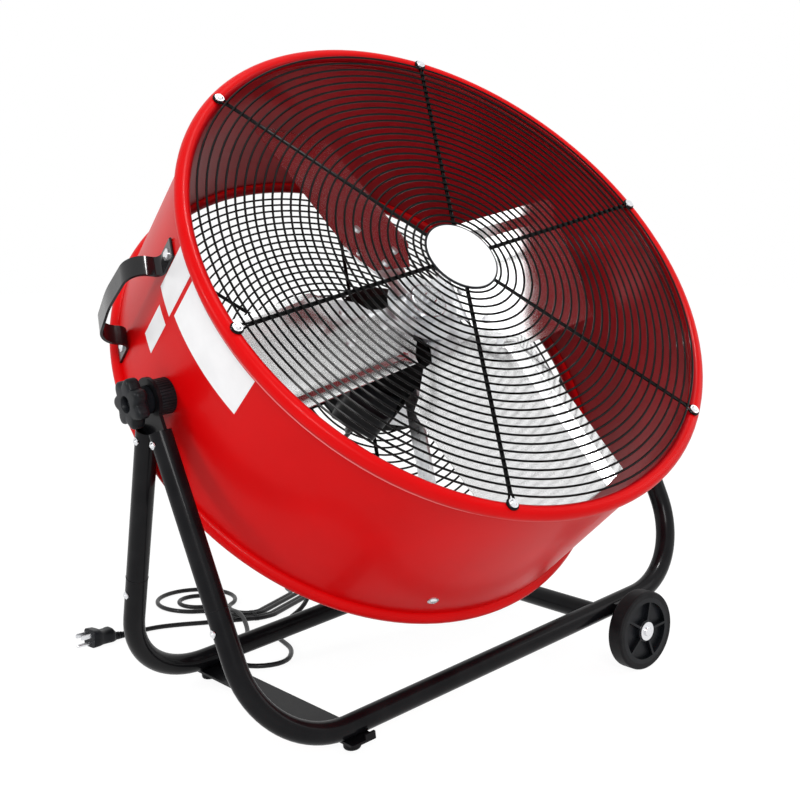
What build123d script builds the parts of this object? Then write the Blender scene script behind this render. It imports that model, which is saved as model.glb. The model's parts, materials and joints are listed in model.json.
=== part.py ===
"""A two-foot drum fan that tilts in a tube stand with two wheels.

Lengths are in millimetres.  Three frames are used:
  stand   X to the wheel end, -Y to the front, Z up, origin between the two floor runs
  drum    Z along the fan axis towards the front, X along the tilt axis, origin on the pivot
  floor   the stand leaned back on its wheels, Z = 0 where it rests
"""
from build123d import *
import math
import os

os.makedirs("parts", exist_ok=True)

# ------------------------------------------------------------------ clearances
FIT = 0.05  # radial clearance of a pin or shaft in its bore
GAP = 0.3  # space between a moving face and its neighbour
HOLE = 0.1  # radial clearance of a screw in its hole

# ------------------------------------------------------------------ tube stand
TUBE_D = 25.4
TUBE_WALL = 1.4
RUN_Y = 145.0  # each floor run is this far from the middle
RUN_CLEAR = 14.6  # drum's corner to the runs, as it turns past them
BEND_R = 107.0
JOINT_S = 166.0  # leg joint, measured up the leg
SWAGE_LEN = 35.0
LEG_TOP = 37.0  # top of the leg tube below the pivot
JOINT_SCREW = 22.0  # joint screw below the joint
TOP_SCREW = 12.0  # bracket screw below the top of the leg

SCREW_D = 4.8
SCREW_HEAD_D = 9.0
SCREW_HEAD_H = 3.0
SCREW_LEN = 9.0

BRACKET_T = 4.0
BRACKET_HEAD_R = 24.0
BRACKET_ARM_W = 27.0
TONGUE_LEN = 34.0

PLATE_IN = 7.2  # plate across the foot end, in from where the bend starts
PLATE_W = 34.0
PLATE_T = 3.0
PLATE_OVER = 20.0  # past the middle of each run
TAB_W = 14.0
TAB_H = 9.0

FOOT_IN = 4.2
FOOT_R = 10.0
FOOT_EDGE = 3.0
FOOT_DROP = 26.3  # underside below the middle of the runs

CROSS_TUBE_IN = 80.2

AXLE_IN = 30.9
AXLE_DROP = 30.7
AXLE_D = 12.0
AXLE_HEAD_D = 18.0
AXLE_HEAD_H = 6.5
AXLE_END = 4.5  # bolt end past the wheel
WASHER_D = 24.0
WASHER_T = 1.6
EAR_T = 5.0
EAR_W = 52.0
EAR_TOP = 8.0
EAR_R = 16.0

WHEEL_R = 50.8
WHEEL_W = 21.0
WHEEL_GAP = 3.6  # wheel to the ear
TYRE_T = 8.0
RECESS_R = 37.0
RECESS_DEPTH = 6.0
HUB_R = 14.0
RIB_T = 3.0
RIBS = 5

# ------------------------------------------------------------------------ drum
TILT = 40.3  # fan axis above the floor runs at rest
SKIN_R = 327.0
SKIN_T = 1.2
FRONT_D = 153.6  # middle of the front bead
REAR_D = -88.0  # middle of the rear bead
BEAD_R = 8.5
BEAD_SLIT = 1.5
RIDGE_BACK = 13.0  # ridge behind the front bead
RIDGE_R = 1.6
SIDE_CLEAR = 1.0  # bead to the inside of the legs

WIRE_D = 2.1
RING_FIRST = 51.5
RING_SECOND = 61.0
REAR_RINGS_LESS = 2  # rings left out of the middle of the rear guard
RING_LAST_IN = 9.56  # last ring inside the middle of the eyes
RINGS = 25
SPOKES = 6
SPOKE_PITCH = 2.6  # between the two wires of a spoke
FRONT_SPOKE_AT = 5.7
REAR_SPOKE_AT = 7.0
EYE_IN = 3.0  # eyes inside the middle of the bead
EYE_D = 17.0
GUARD_SCREW_D = 5.0
GUARD_HEAD_D = 11.0
GUARD_HEAD_H = 3.6
GUARD_SCREW_LEN = 10.0

BADGE_R = 45.0
BADGE_T = 3.0
BADGE_SEAT_R = 30.0

HANDLE_AT = 161.0
HANDLE_W = 25.0
HANDLE_T = 3.0
HANDLE_FRONT = 82.0
HANDLE_REAR = -42.0
HANDLE_OUT = 36.0
HANDLE_FOOT = 34.0
HANDLE_BEND = 9.0
HANDLE_CORNER = 22.0
HANDLE_BOW = 5.0  # rise of the grip at its middle
HANDLE_ARC = 150.0
HANDLE_SCREW_FRONT = 104.0
HANDLE_SCREW_REAR = -62.0

# ------------------------------------------------------- pivots on both sides
BOLT_D = 10.0
BOLT_HEAD_R = 9.0
BOLT_HEAD_H = 6.0
SPACER_R = 20.0
KNOB_R = 28.0
KNOB_T = 27.0
KNOB_LOBES = 7
KNOB_LOBE_R = 7.0
KNOB_NECK_R = 16.0
KNOB_NECK_T = 11.0
KNOB_RECESS_R = 9.0
KNOB_RECESS = 7.0

# ----------------------------------------------------------------------- motor
MOTOR_R = 84.0
MOTOR_FRONT = 12.0
MOTOR_REAR = -88.0
BELL_T = 14.0
BELL_R = 62.0
FINS = 28
FIN_SLOT = 4.0
FIN_DEPTH = 3.0
VENTS = 8
VENT_D = 9.0

STRUT_T = 3.0
STRUT_FRONT = 20.0
STRUT_REAR = -55.0
STRUT_FOOT = 25.0
STRUT_WEB = 30.0  # width of the web, behind the front edge
STRUT_SCREW_D = -46.0
STRUT_LOW_AT = -113.5
STRUT_RIGHT_AT = 6.5
STRUT_LEFT_AT = 186.5

MOTOR_BOX_AT = -140.0
MOTOR_BOX_W = 60.0
MOTOR_BOX_OUT = 114.0
MOTOR_BOX_FRONT = -6.0
MOTOR_BOX_REAR = -62.0
MOTOR_BOX_EDGE = 10.0

SWITCH_R = 61.0
SWITCH_REAR = -113.0
DIAL_UP = 19.0
DIAL_R = 16.0
DIAL_T = 15.0
DIAL_STEM_D = 6.0
DIAL_STEM = 8.0
GLAND_DOWN = 24.0
GLAND_LEN = 34.0
GLAND_R = 9.0
LEAD_D = 6.5

# ------------------------------------------------------------------------- fan
BLADES = 4
BLADE_AT = 11.3
BLADE_D = 67.0
BLADE_SLOPE = 0.38
BLADE_T = 1.6
TIP_CLEAR = 27.0  # blade tips to the outside of the skin
BLADE_ROOT = 62.0
BLADE_SHOULDER = 96.0
LEAD_ROOT_W = 40.0
LEAD_W_IN = 64.4
LEAD_W_OUT = 47.0
TRAIL_ROOT_W = 48.0
TRAIL_W_IN = 84.2
TRAIL_W_OUT = 98.0
LIP_W = 12.0
LIP_BEND = 20.0

SPIDER_T = 3.0
SPIDER_R = 46.0
ARM_ROOT_W = 52.0
ARM_MID_W = 116.0
ARM_MID = 92.0
ARM_TIP_W = 34.0
ARM_TIP = 140.0
RIVET_D = 6.0
RIVET_HEAD_R = 5.0
RIVET_HEAD = 2.0
RIVET_IN = 72.0
RIVET_MID = 90.0
RIVET_SIDE = 47.0
RIVET_OUT = 128.0

SHAFT_D = 16.0
SHAFT_TIP = 90.0
SHAFT_DEEP = 45.0
FAN_HUB_R = 24.0
FAN_HUB_FRONT = 84.0
FAN_HUB_REAR = 50.0

# ------------------------------------------------------------------------ cord
CORD_D = 6.5
TIE_T = 0.5
TIE_W = 7.0
TIE_SLACK = 0.4  # across, because the strands bend inside it
CORD_PITCH = 7.2  # between neighbours where the hank is drawn in
HANK_X = -39.0  # middle of the bend at the tie
HANK_Y = 352.0
HANK_BEND = 36.0
HANK_LEFT = 92.0  # heading of the left half
HANK_RIGHT = 26.0  # heading of the right half
HANK_START = -23.0  # heading of the lead where it joins
TIE_AT = -108.0  # direction of the tie from the middle of the bend
LEFT_OUTER = (58.0, 36.0, 86.0)  # lobe radius, flare radius, reach
LEFT_INNER = (30.0, 26.0, 78.0)
RIGHT_OUTER = (46.0, 36.0, 150.0)
RIGHT_INNER = (26.0, 26.0, 140.0)
HANK_TAIL_RUN = 7.0
HANK_LEAD_RUN = 22.0

PLUG_LEN = 38.0
PLUG_W = 26.0
PLUG_H = 24.0
PLUG_RELIEF = 24.0
RELIEF_FLARE = 2.5
PIN_LEN = 17.0
PIN_W = 6.3
PIN_T = 1.6
PIN_GAP = 12.7
PINS_UP = 5.0  # flat pins above the middle of the plug
EARTH_PIN_D = 4.8
EARTH_PIN_DOWN = 11.9
EARTH_PIN_LEN = 20.0


# ---------------------------------------------------------------------- frames
EYE_R = SKIN_R - EYE_IN
RING_PITCH = (EYE_R - RING_LAST_IN - RING_SECOND) / (RINGS - 1)
BLADE_TIP_R = SKIN_R - TIP_CLEAR
DRUM_REACH = math.hypot(SKIN_R + BEAD_R, max(FRONT_D, -REAR_D) + BEAD_R)
LEG_LEN = DRUM_REACH + RUN_CLEAR + TUBE_D / 2
PIVOT_Z = math.sqrt(LEG_LEN**2 - RUN_Y**2)
LEG_X = SKIN_R + BEAD_R + SIDE_CLEAR + TUBE_D / 2
STRAIGHT = LEG_X - BEND_R  # half the straight part of a run
PLATE_X = PLATE_IN - STRAIGHT
FOOT_X = FOOT_IN - STRAIGHT
CROSS_TUBE_X = STRAIGHT - CROSS_TUBE_IN
AXLE_X = STRAIGHT - AXLE_IN
TUBE_BORE = TUBE_D - 2 * TUBE_WALL
FOOT_ROUND_X = FOOT_X - (FOOT_R - FOOT_EDGE)
FOOT_ROUND_Z = -(FOOT_DROP - FOOT_EDGE)
REACH = AXLE_X - FOOT_ROUND_X
RISE = -AXLE_DROP - FOOT_ROUND_Z
LEAN = math.degrees(
    math.asin((WHEEL_R - FOOT_EDGE) / math.hypot(REACH, RISE)) - math.atan2(RISE, REACH)
)
LIFT = (
    WHEEL_R
    + AXLE_DROP * math.cos(math.radians(LEAN))
    - AXLE_X * math.sin(math.radians(LEAN))
)
STAND = Pos(0, 0, LIFT) * Rot(0, -LEAN, 0)
DRUM = STAND * Pos(0, 0, PIVOT_Z) * Rot(90 - TILT, 0, 0)
FLOOR = Location()

pieces = []


def keep(builder, label, seat):
    """Seats a finished piece on the floor frame and names it."""
    seated = seat * builder.part
    seated.label = label
    pieces.append(seated)


def radial(theta, radius, depth):
    """A place round the fan axis: Z points outward, X runs forward along the axis."""
    out = Vector(math.cos(math.radians(theta)), math.sin(math.radians(theta)), 0)
    return Location(Plane(origin=out * radius + Vector(0, 0, depth), x_dir=(0, 0, 1), z_dir=out))


def axial(theta, radius, depth, facing=1):
    """A place round the fan axis with Z along the axis, forward or back."""
    angle = math.radians(theta)
    middle = Vector(radius * math.cos(angle), radius * math.sin(angle), depth)
    return Location(Plane(origin=middle, x_dir=(1, 0, 0), z_dir=(0, 0, facing)))


def screws(places, head_d, head_h, shank_d, length):
    """Washer-head screws: the head stands on local Z = 0, the shank goes down from it."""
    with Locations(*places):
        Cylinder(head_d / 2, head_h * 0.4, align=(Align.CENTER, Align.CENTER, Align.MIN))
        Cylinder(shank_d / 2, length, align=(Align.CENTER, Align.CENTER, Align.MAX))
    with Locations(*[place * Pos(0, 0, head_h * 0.4) for place in places]):
        Cone(
            head_d * 0.36,
            head_d * 0.24,
            head_h * 0.6,
            align=(Align.CENTER, Align.CENTER, Align.MIN),
        )


def drill(places, diameter, depth):
    """Holes through the current part, centred on each place's local Z = 0."""
    with Locations(*places):
        Cylinder(diameter / 2, depth, mode=Mode.SUBTRACT)


# ---------------------------------------------------------------------- stand
def leg_plane(side):
    """Plane of one U-shaped side, -1 front or 1 rear: X along the run, Y up to the pivot."""
    return Plane(
        origin=(0, side * RUN_Y, 0), x_dir=(1, 0, 0), z_dir=(0, -PIVOT_Z, -side * RUN_Y)
    )


def leg_screw_places(side, end, up):
    """Place of a screw on the outer side of a leg, up the leg by the given length."""
    middle = leg_plane(side).from_local_coords(Vector(end * LEG_X, up, 0))
    face = middle + Vector(end * TUBE_D / 2, 0, 0)
    return Location(Plane(origin=face, x_dir=(0, 1, 0), z_dir=(end, 0, 0)))


LEG_TOP_S = LEG_LEN - LEG_TOP
PLATE_TOP = -TUBE_D / 2
PLATE_SCREW_X = PLATE_X + PLATE_W / 2 - 5.5


def plate_screw_place(side):
    under = (PLATE_SCREW_X, side * RUN_Y, PLATE_TOP - PLATE_T)
    return Location(Plane(origin=under, x_dir=(1, 0, 0), z_dir=(0, 0, -1)))


def base_loop(side):
    """One floor run with its two bends and the lower part of its legs."""
    with BuildPart() as loop:
        with BuildLine(leg_plane(side)) as path:
            FilletPolyline(
                (-LEG_X, JOINT_S),
                (-LEG_X, 0),
                (LEG_X, 0),
                (LEG_X, JOINT_S),
                radius=BEND_R,
            )
        with BuildSketch(Plane(origin=path.line @ 0, x_dir=(1, 0, 0), z_dir=path.line % 0)):
            Circle(TUBE_D / 2)
            Circle(TUBE_BORE / 2, mode=Mode.SUBTRACT)
        sweep()
        joints = [leg_screw_places(side, end, JOINT_S - JOINT_SCREW) for end in (-1, 1)]
        drill(joints, SCREW_D + 2 * HOLE, 6 * TUBE_WALL)
        drill([plate_screw_place(side)], SCREW_D + 2 * HOLE, 6 * TUBE_WALL + 2 * PLATE_T)
    return loop


def leg(side, end):
    """The straight upper leg, drawn down at its foot to go into the loop."""
    plane = leg_plane(side)
    with BuildPart() as upper:
        foot = Plane(
            origin=plane.from_local_coords(Vector(end * LEG_X, JOINT_S, 0)),
            x_dir=(1, 0, 0),
            z_dir=plane.y_dir,
        )
        with BuildSketch(foot):
            Circle(TUBE_D / 2)
        extrude(amount=LEG_TOP_S - JOINT_S)
        with BuildSketch(foot):
            Circle(TUBE_BORE / 2 - FIT)
        extrude(amount=-SWAGE_LEN)
        with BuildSketch(foot.offset(-SWAGE_LEN)):
            Circle(TUBE_BORE / 2 - FIT - TUBE_WALL)
        extrude(amount=SWAGE_LEN + 2 * TUBE_WALL, mode=Mode.SUBTRACT)
        with BuildSketch(foot.offset(2 * TUBE_WALL)):
            Circle(TUBE_BORE / 2)
        extrude(amount=LEG_TOP_S - JOINT_S, mode=Mode.SUBTRACT)
        places = [leg_screw_places(side, end, JOINT_S - JOINT_SCREW)]
        places += [leg_screw_places(side, end, LEG_TOP_S - TOP_SCREW)]
        drill(places, SCREW_D + 2 * HOLE, TUBE_D)
    return upper


def pivot_bracket(end):
    """Flat inverted V whose tongues go down into the two legs of one end."""
    tongue_w = 2 * math.sqrt((TUBE_BORE / 2 - FIT) ** 2 - (BRACKET_T / 2) ** 2)
    lean = math.degrees(math.atan2(RUN_Y, PIVOT_Z))
    across = Plane(origin=(end * LEG_X, 0, 0), x_dir=(0, 1, 0), z_dir=(1, 0, 0))
    with BuildPart() as bracket:
        with BuildSketch(across):
            with Locations((0, PIVOT_Z)):
                Circle(BRACKET_HEAD_R)
            for side in (-1, 1):
                with Locations(Location((0, PIVOT_Z, 0), (0, 0, side * lean))):
                    Rectangle(BRACKET_ARM_W, LEG_TOP - FIT, align=(Align.CENTER, Align.MAX))
                    Rectangle(tongue_w, LEG_TOP + TONGUE_LEN, align=(Align.CENTER, Align.MAX))
            with Locations((0, PIVOT_Z)):
                Circle(BOLT_D / 2 + HOLE, mode=Mode.SUBTRACT)
        extrude(amount=BRACKET_T / 2, both=True)
        for side in (-1, 1):
            place = leg_screw_places(side, end, LEG_TOP_S - TOP_SCREW)
            drill([place], SCREW_D + 2 * HOLE, 2 * TUBE_D)
    return bracket


for side, name in ((-1, "front"), (1, "rear")):
    keep(base_loop(side), f"{name}_loop", STAND)
    for end, hand in ((-1, "left"), (1, "right")):
        keep(leg(side, end), f"leg_{name}_{hand}", STAND)
for end, hand in ((-1, "left"), (1, "right")):
    keep(pivot_bracket(end), f"pivot_bracket_{hand}", STAND)

with BuildPart() as cross_plate:
    with BuildSketch(Plane.XY.offset(PLATE_TOP)):
        with Locations((PLATE_X, 0)):
            Rectangle(PLATE_W, 2 * (RUN_Y + PLATE_OVER))
    extrude(amount=-PLATE_T)
    fillet(cross_plate.edges().filter_by(Axis.Z), radius=4)
    with Locations((PLATE_X + PLATE_W / 4, -RUN_Y - PLATE_OVER, PLATE_TOP - PLATE_T)):
        Box(TAB_W, PLATE_T, TAB_H, align=(Align.CENTER, Align.MIN, Align.MIN))
    drill([plate_screw_place(side) for side in (-1, 1)], SCREW_D + 2 * HOLE, 3 * PLATE_T)
keep(cross_plate, "cross_plate", STAND)

with BuildPart() as cross_tube:
    with BuildSketch(Plane.XZ.offset(-RUN_Y)):
        with Locations((CROSS_TUBE_X, 0)):
            Circle(TUBE_D / 2)
            Circle(TUBE_BORE / 2, mode=Mode.SUBTRACT)
    extrude(amount=2 * RUN_Y)
    with Locations(*[Location((CROSS_TUBE_X, s * RUN_Y, 0), (0, 90, 0)) for s in (-1, 1)]):
        Cylinder(TUBE_D / 2 + FIT, 2 * TUBE_D, mode=Mode.SUBTRACT)
keep(cross_tube, "cross_tube", STAND)


def rubber_foot(side):
    with BuildPart() as foot:
        with BuildSketch(Plane.XY.offset(PLATE_TOP - PLATE_T)):
            with Locations((FOOT_X, side * RUN_Y)):
                Circle(FOOT_R)
        extrude(amount=-(FOOT_DROP + PLATE_TOP - PLATE_T))
        fillet(foot.faces().sort_by(Axis.Z)[0].edges(), radius=FOOT_EDGE)
    return foot


def axle_plane(side, y):
    """Plane across the axle at a distance from the middle, facing outward."""
    return Plane(origin=(AXLE_X, side * y, -AXLE_DROP), x_dir=(1, 0, 0), z_dir=(0, side, 0))


EAR_Y = RUN_Y + TUBE_D / 2
WHEEL_Y = EAR_Y + EAR_T + WHEEL_GAP


def axle_ear(side):
    """Plate welded to the outside of the run, with the axle hole below it."""
    with BuildPart() as ear:
        with BuildSketch(axle_plane(side, EAR_Y)):
            Circle(EAR_R)
            up = side_up(side)
            with Locations((0, up * (AXLE_DROP + EAR_TOP - EAR_R / 2))):
                Rectangle(EAR_W, EAR_R)
            make_hull()
            Circle(AXLE_D / 2 + HOLE, mode=Mode.SUBTRACT)
        extrude(amount=EAR_T)
    return ear


def side_up(side):
    """Sign of the axle plane's own Y that points up."""
    return 1 if axle_plane(side, 0).y_dir.Z > 0 else -1


def axle(side):
    """Bolt with its head inside, a collar against the ear and a washer outside the wheel."""
    with BuildPart() as bolt:
        with BuildSketch(axle_plane(side, EAR_Y - AXLE_HEAD_H)):
            RegularPolygon(AXLE_HEAD_D / 2, 6)
        extrude(amount=AXLE_HEAD_H)
        with BuildSketch(axle_plane(side, EAR_Y)):
            Circle(AXLE_D / 2)
        extrude(amount=EAR_T + WHEEL_GAP + WHEEL_W + AXLE_END)
        with BuildSketch(axle_plane(side, EAR_Y + EAR_T)):
            Circle(HUB_R - 3)
        extrude(amount=WHEEL_GAP - GAP)
        with BuildSketch(axle_plane(side, WHEEL_Y + WHEEL_W + GAP)):
            Circle(WASHER_D / 2)
        extrude(amount=WASHER_T)
        fillet(bolt.faces().sort_by(Axis.Y)[-1 if side > 0 else 0].edges(), radius=1.5)
    return bolt


def wheel(side):
    """Rim, ribs and hub as one moulding, open on both faces."""
    with BuildPart() as rim:
        with BuildSketch(axle_plane(side, WHEEL_Y)):
            Circle(WHEEL_R - TYRE_T)
        extrude(amount=WHEEL_W)
        for y, way in ((WHEEL_Y, 1), (WHEEL_Y + WHEEL_W, -1)):
            with BuildSketch(axle_plane(side, y)):
                Circle(RECESS_R)
                Circle(HUB_R, mode=Mode.SUBTRACT)
                with PolarLocations(0, RIBS):
                    Rectangle(
                        RECESS_R + RIB_T,
                        RIB_T,
                        align=(Align.MIN, Align.CENTER),
                        mode=Mode.SUBTRACT,
                    )
            extrude(amount=way * RECESS_DEPTH, mode=Mode.SUBTRACT)
        with BuildSketch(axle_plane(side, WHEEL_Y)):
            Circle(AXLE_D / 2 + FIT)
        extrude(amount=WHEEL_W, mode=Mode.SUBTRACT)
    return rim


def tyre(side):
    with BuildPart() as ring:
        with BuildSketch(axle_plane(side, WHEEL_Y)):
            Circle(WHEEL_R)
            Circle(WHEEL_R - TYRE_T + FIT, mode=Mode.SUBTRACT)
        extrude(amount=WHEEL_W)
        outer = ring.edges().filter_by(GeomType.CIRCLE).group_by(SortBy.RADIUS)[-1]
        fillet(outer, radius=3)
    return ring


for side, name in ((-1, "front"), (1, "rear")):
    keep(rubber_foot(side), f"foot_{name}", STAND)
    keep(axle_ear(side), f"axle_ear_{name}", STAND)
    keep(axle(side), f"axle_bolt_{name}", STAND)
    keep(wheel(side), f"wheel_{name}", STAND)
    keep(tyre(side), f"tyre_{name}", STAND)

with BuildPart() as frame_screws:
    heights = (JOINT_S - JOINT_SCREW, LEG_TOP_S - TOP_SCREW)
    spots = [leg_screw_places(s, e, up) for s in (-1, 1) for e in (-1, 1) for up in heights]
    spots += [plate_screw_place(s) for s in (-1, 1)]
    screws(spots, SCREW_HEAD_D, SCREW_HEAD_H, SCREW_D, SCREW_LEN)
keep(frame_screws, "frame_screws", STAND)

# ----------------------------------------------------------------------- drum
FRONT_FACE = FRONT_D + BEAD_R
REAR_FACE = REAR_D - BEAD_R
SPOKE_STEP = 360 / SPOKES
front_eyes = [axial(FRONT_SPOKE_AT + SPOKE_STEP * i, EYE_R, FRONT_FACE) for i in range(SPOKES)]
rear_eyes = [axial(REAR_SPOKE_AT + SPOKE_STEP * i, EYE_R, REAR_FACE, -1) for i in range(SPOKES)]
handle_holes = [radial(HANDLE_AT, SKIN_R, d) for d in (HANDLE_SCREW_FRONT, HANDLE_SCREW_REAR)]


def strut_hole(theta, way):
    """Place of a strut's screw on the outside of the skin."""
    aside = math.degrees(math.atan2(STRUT_FOOT / 2, SKIN_R))
    return radial(theta + way * aside, SKIN_R, STRUT_SCREW_D)


strut_sides = {"low": (STRUT_LOW_AT, 1), "right": (STRUT_RIGHT_AT, 1), "left": (STRUT_LEFT_AT, -1)}
strut_holes = [strut_hole(*side) for side in strut_sides.values()]

with BuildPart() as drum_shell:
    with BuildSketch(Plane.XZ):
        skin_rear = REAR_D + BEAD_R - SKIN_T / 2
        skin_front = FRONT_D - BEAD_R + SKIN_T / 2
        with Locations((SKIN_R - SKIN_T / 2, skin_rear)):
            Rectangle(SKIN_T, skin_front - skin_rear, align=(Align.CENTER, Align.MIN))
        with Locations((SKIN_R - RIDGE_R / 3, FRONT_D - RIDGE_BACK)):
            Circle(RIDGE_R)
        with Locations((SKIN_R, FRONT_D), (SKIN_R, REAR_D)):
            Circle(BEAD_R)
        with Locations((SKIN_R, FRONT_D), (SKIN_R, REAR_D)):
            Circle(BEAD_R - SKIN_T, mode=Mode.SUBTRACT)
        with Locations((SKIN_R - BEAD_R, FRONT_D), (SKIN_R - BEAD_R, REAR_D)):
            Rectangle(3 * SKIN_T, BEAD_SLIT, mode=Mode.SUBTRACT)
    revolve(axis=Axis.Z)
    drill([radial(theta, SKIN_R, 0) for theta in (0, 180)], BOLT_D + 2 * FIT, 6 * SKIN_T)
    drill(front_eyes + rear_eyes, GUARD_SCREW_D + 2 * HOLE, 2 * BEAD_R)
    drill(handle_holes + strut_holes, GUARD_SCREW_D + 2 * HOLE, 6 * SKIN_T)
keep(drum_shell, "drum_shell", DRUM)


def guard(seat, facing, first_spoke, centre):
    """Ring guard: rings on the outside, double-wire spokes behind them ending in eyes."""
    base = Plane(origin=(0, 0, seat), x_dir=(1, 0, 0), z_dir=(0, 0, facing))
    rings = [RING_FIRST] + [RING_SECOND + RING_PITCH * i for i in range(RINGS)]
    if not centre:
        rings = rings[REAR_RINGS_LESS:]
    with BuildPart() as mesh:
        with BuildSketch(base):
            for i in range(SPOKES):
                theta = facing * (first_spoke + SPOKE_STEP * i)
                with Locations(Location((0, 0, 0), (0, 0, theta))):
                    with Locations((EYE_R, 0)):
                        Circle(EYE_D / 2)
                    inner = 0 if centre else rings[0]
                    for offset in (-SPOKE_PITCH / 2, SPOKE_PITCH / 2):
                        with Locations((inner, offset)):
                            Rectangle(
                                EYE_R - inner, WIRE_D, align=(Align.MIN, Align.CENTER)
                            )
            if centre:
                Circle(BADGE_SEAT_R)
            with PolarLocations(EYE_R, SPOKES, start_angle=facing * first_spoke):
                Circle(GUARD_SCREW_D / 2 + HOLE, mode=Mode.SUBTRACT)
        extrude(amount=WIRE_D)
        with BuildSketch(base.offset(WIRE_D)):
            for radius in reversed(rings):
                Circle(radius + WIRE_D / 2)
                Circle(radius - WIRE_D / 2, mode=Mode.SUBTRACT)
        extrude(amount=WIRE_D)
    return mesh


keep(guard(FRONT_FACE, 1, FRONT_SPOKE_AT, True), "front_guard", DRUM)
keep(guard(REAR_FACE, -1, REAR_SPOKE_AT, False), "rear_guard", DRUM)

with BuildPart() as badge:
    with BuildSketch(Plane.XY.offset(FRONT_FACE + WIRE_D)):
        Circle(BADGE_R)
    extrude(amount=BADGE_T)
    fillet(badge.faces().sort_by(Axis.Z)[-1].edges(), radius=1.5)
keep(badge, "badge", DRUM)

for eyes, name in ((front_eyes, "front"), (rear_eyes, "rear")):
    with BuildPart() as guard_screws:
        heads = [place * Pos(0, 0, WIRE_D) for place in eyes]
        screws(heads, GUARD_HEAD_D, GUARD_HEAD_H, GUARD_SCREW_D, GUARD_SCREW_LEN)
    keep(guard_screws, f"{name}_guard_screws", DRUM)

with BuildPart() as handle:
    out = Vector(math.cos(math.radians(HANDLE_AT)), math.sin(math.radians(HANDLE_AT)), 0)
    side_on = Plane(origin=(0, 0, 0), x_dir=(0, 0, 1), z_dir=(-out.Y, out.X, 0))
    with BuildSketch(side_on):
        low = SKIN_R + HANDLE_T / 2
        high = low + HANDLE_OUT
        with BuildLine() as strap:
            FilletPolyline(
                (HANDLE_FRONT + HANDLE_FOOT, low),
                (HANDLE_FRONT, low),
                (HANDLE_FRONT, high),
                ((HANDLE_FRONT + HANDLE_REAR) / 2, high + HANDLE_BOW),
                (HANDLE_REAR, high),
                (HANDLE_REAR, low),
                (HANDLE_REAR - HANDLE_FOOT, low),
                radius=(HANDLE_BEND, HANDLE_CORNER, HANDLE_ARC, HANDLE_CORNER, HANDLE_BEND),
            )
            offset(amount=HANDLE_T / 2, side=Side.BOTH)
        make_face()
    extrude(amount=HANDLE_W / 2, both=True)
    drill(handle_holes, GUARD_SCREW_D + 2 * HOLE, 4 * HANDLE_T)
keep(handle, "handle", DRUM)

with BuildPart() as handle_screws:
    screws(
        [place * Pos(0, 0, HANDLE_T) for place in handle_holes],
        SCREW_HEAD_D + 4,
        SCREW_HEAD_H,
        GUARD_SCREW_D,
        SCREW_LEN,
    )
keep(handle_screws, "handle_screws", DRUM)

# ---------------------------------------------------------------------- pivots
SPACER_LEN = LEG_X - BRACKET_T / 2 - SKIN_R - GAP
KNOB_FROM = LEG_X + BRACKET_T / 2 + GAP


def side_plane(end, x):
    """Plane across the tilt axis at a distance from the middle, facing outward."""
    return Plane(origin=(end * x, 0, 0), x_dir=(0, 1, 0), z_dir=(end, 0, 0))


def pivot_bolt(end):
    """Bolt with its round head against the inside of the skin, out to the knob's recess."""
    seat = math.sqrt((SKIN_R - SKIN_T) ** 2 - BOLT_HEAD_R**2) - FIT
    with BuildPart() as bolt:
        with BuildSketch(side_plane(end, seat - BOLT_HEAD_H)):
            Circle(BOLT_HEAD_R)
        extrude(amount=BOLT_HEAD_H)
        with BuildSketch(side_plane(end, seat)):
            Circle(BOLT_D / 2)
        extrude(amount=KNOB_FROM + KNOB_T - KNOB_RECESS - seat)
    return bolt


def spacer(end):
    """Round distance piece between the skin and the bracket."""
    with BuildPart() as ring:
        with BuildSketch(side_plane(end, SKIN_R)):
            Circle(SPACER_R)
            Circle(BOLT_D / 2 + FIT, mode=Mode.SUBTRACT)
        extrude(amount=SPACER_LEN)
        Cylinder(SKIN_R + FIT, 4 * SPACER_R, mode=Mode.SUBTRACT)
    return ring


def knob(end):
    """Seven-lobed clamping knob with a round recess over the bolt end."""
    with BuildPart() as grip:
        with BuildSketch(side_plane(end, KNOB_FROM + KNOB_NECK_T)):
            Circle(KNOB_R - KNOB_LOBE_R)
            with PolarLocations(KNOB_R - KNOB_LOBE_R, KNOB_LOBES):
                Circle(KNOB_LOBE_R)
        extrude(amount=KNOB_T - KNOB_NECK_T)
        edge = grip.faces().sort_by(Axis.X)[-1 if end > 0 else 0]
        chamfer(edge.outer_wire().edges(), length=1.5)
        with BuildSketch(side_plane(end, KNOB_FROM)):
            Circle(KNOB_NECK_R)
        extrude(amount=KNOB_NECK_T)
        with BuildSketch(side_plane(end, KNOB_FROM + KNOB_T)):
            Circle(KNOB_RECESS_R)
        extrude(amount=-KNOB_RECESS, mode=Mode.SUBTRACT)
        with BuildSketch(side_plane(end, KNOB_FROM)):
            Circle(BOLT_D / 2 + FIT)
        extrude(amount=KNOB_T, mode=Mode.SUBTRACT)
    return grip


for end, hand in ((-1, "left"), (1, "right")):
    keep(pivot_bolt(end), f"pivot_bolt_{hand}", DRUM)
    keep(spacer(end), f"pivot_spacer_{hand}", DRUM)
    keep(knob(end), f"knob_{hand}", DRUM)

# ----------------------------------------------------------------------- motor
BODY_FRONT = MOTOR_FRONT - BELL_T
BODY_REAR = MOTOR_REAR + BELL_T
SHAFT_END = BODY_FRONT - SHAFT_DEEP

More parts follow.
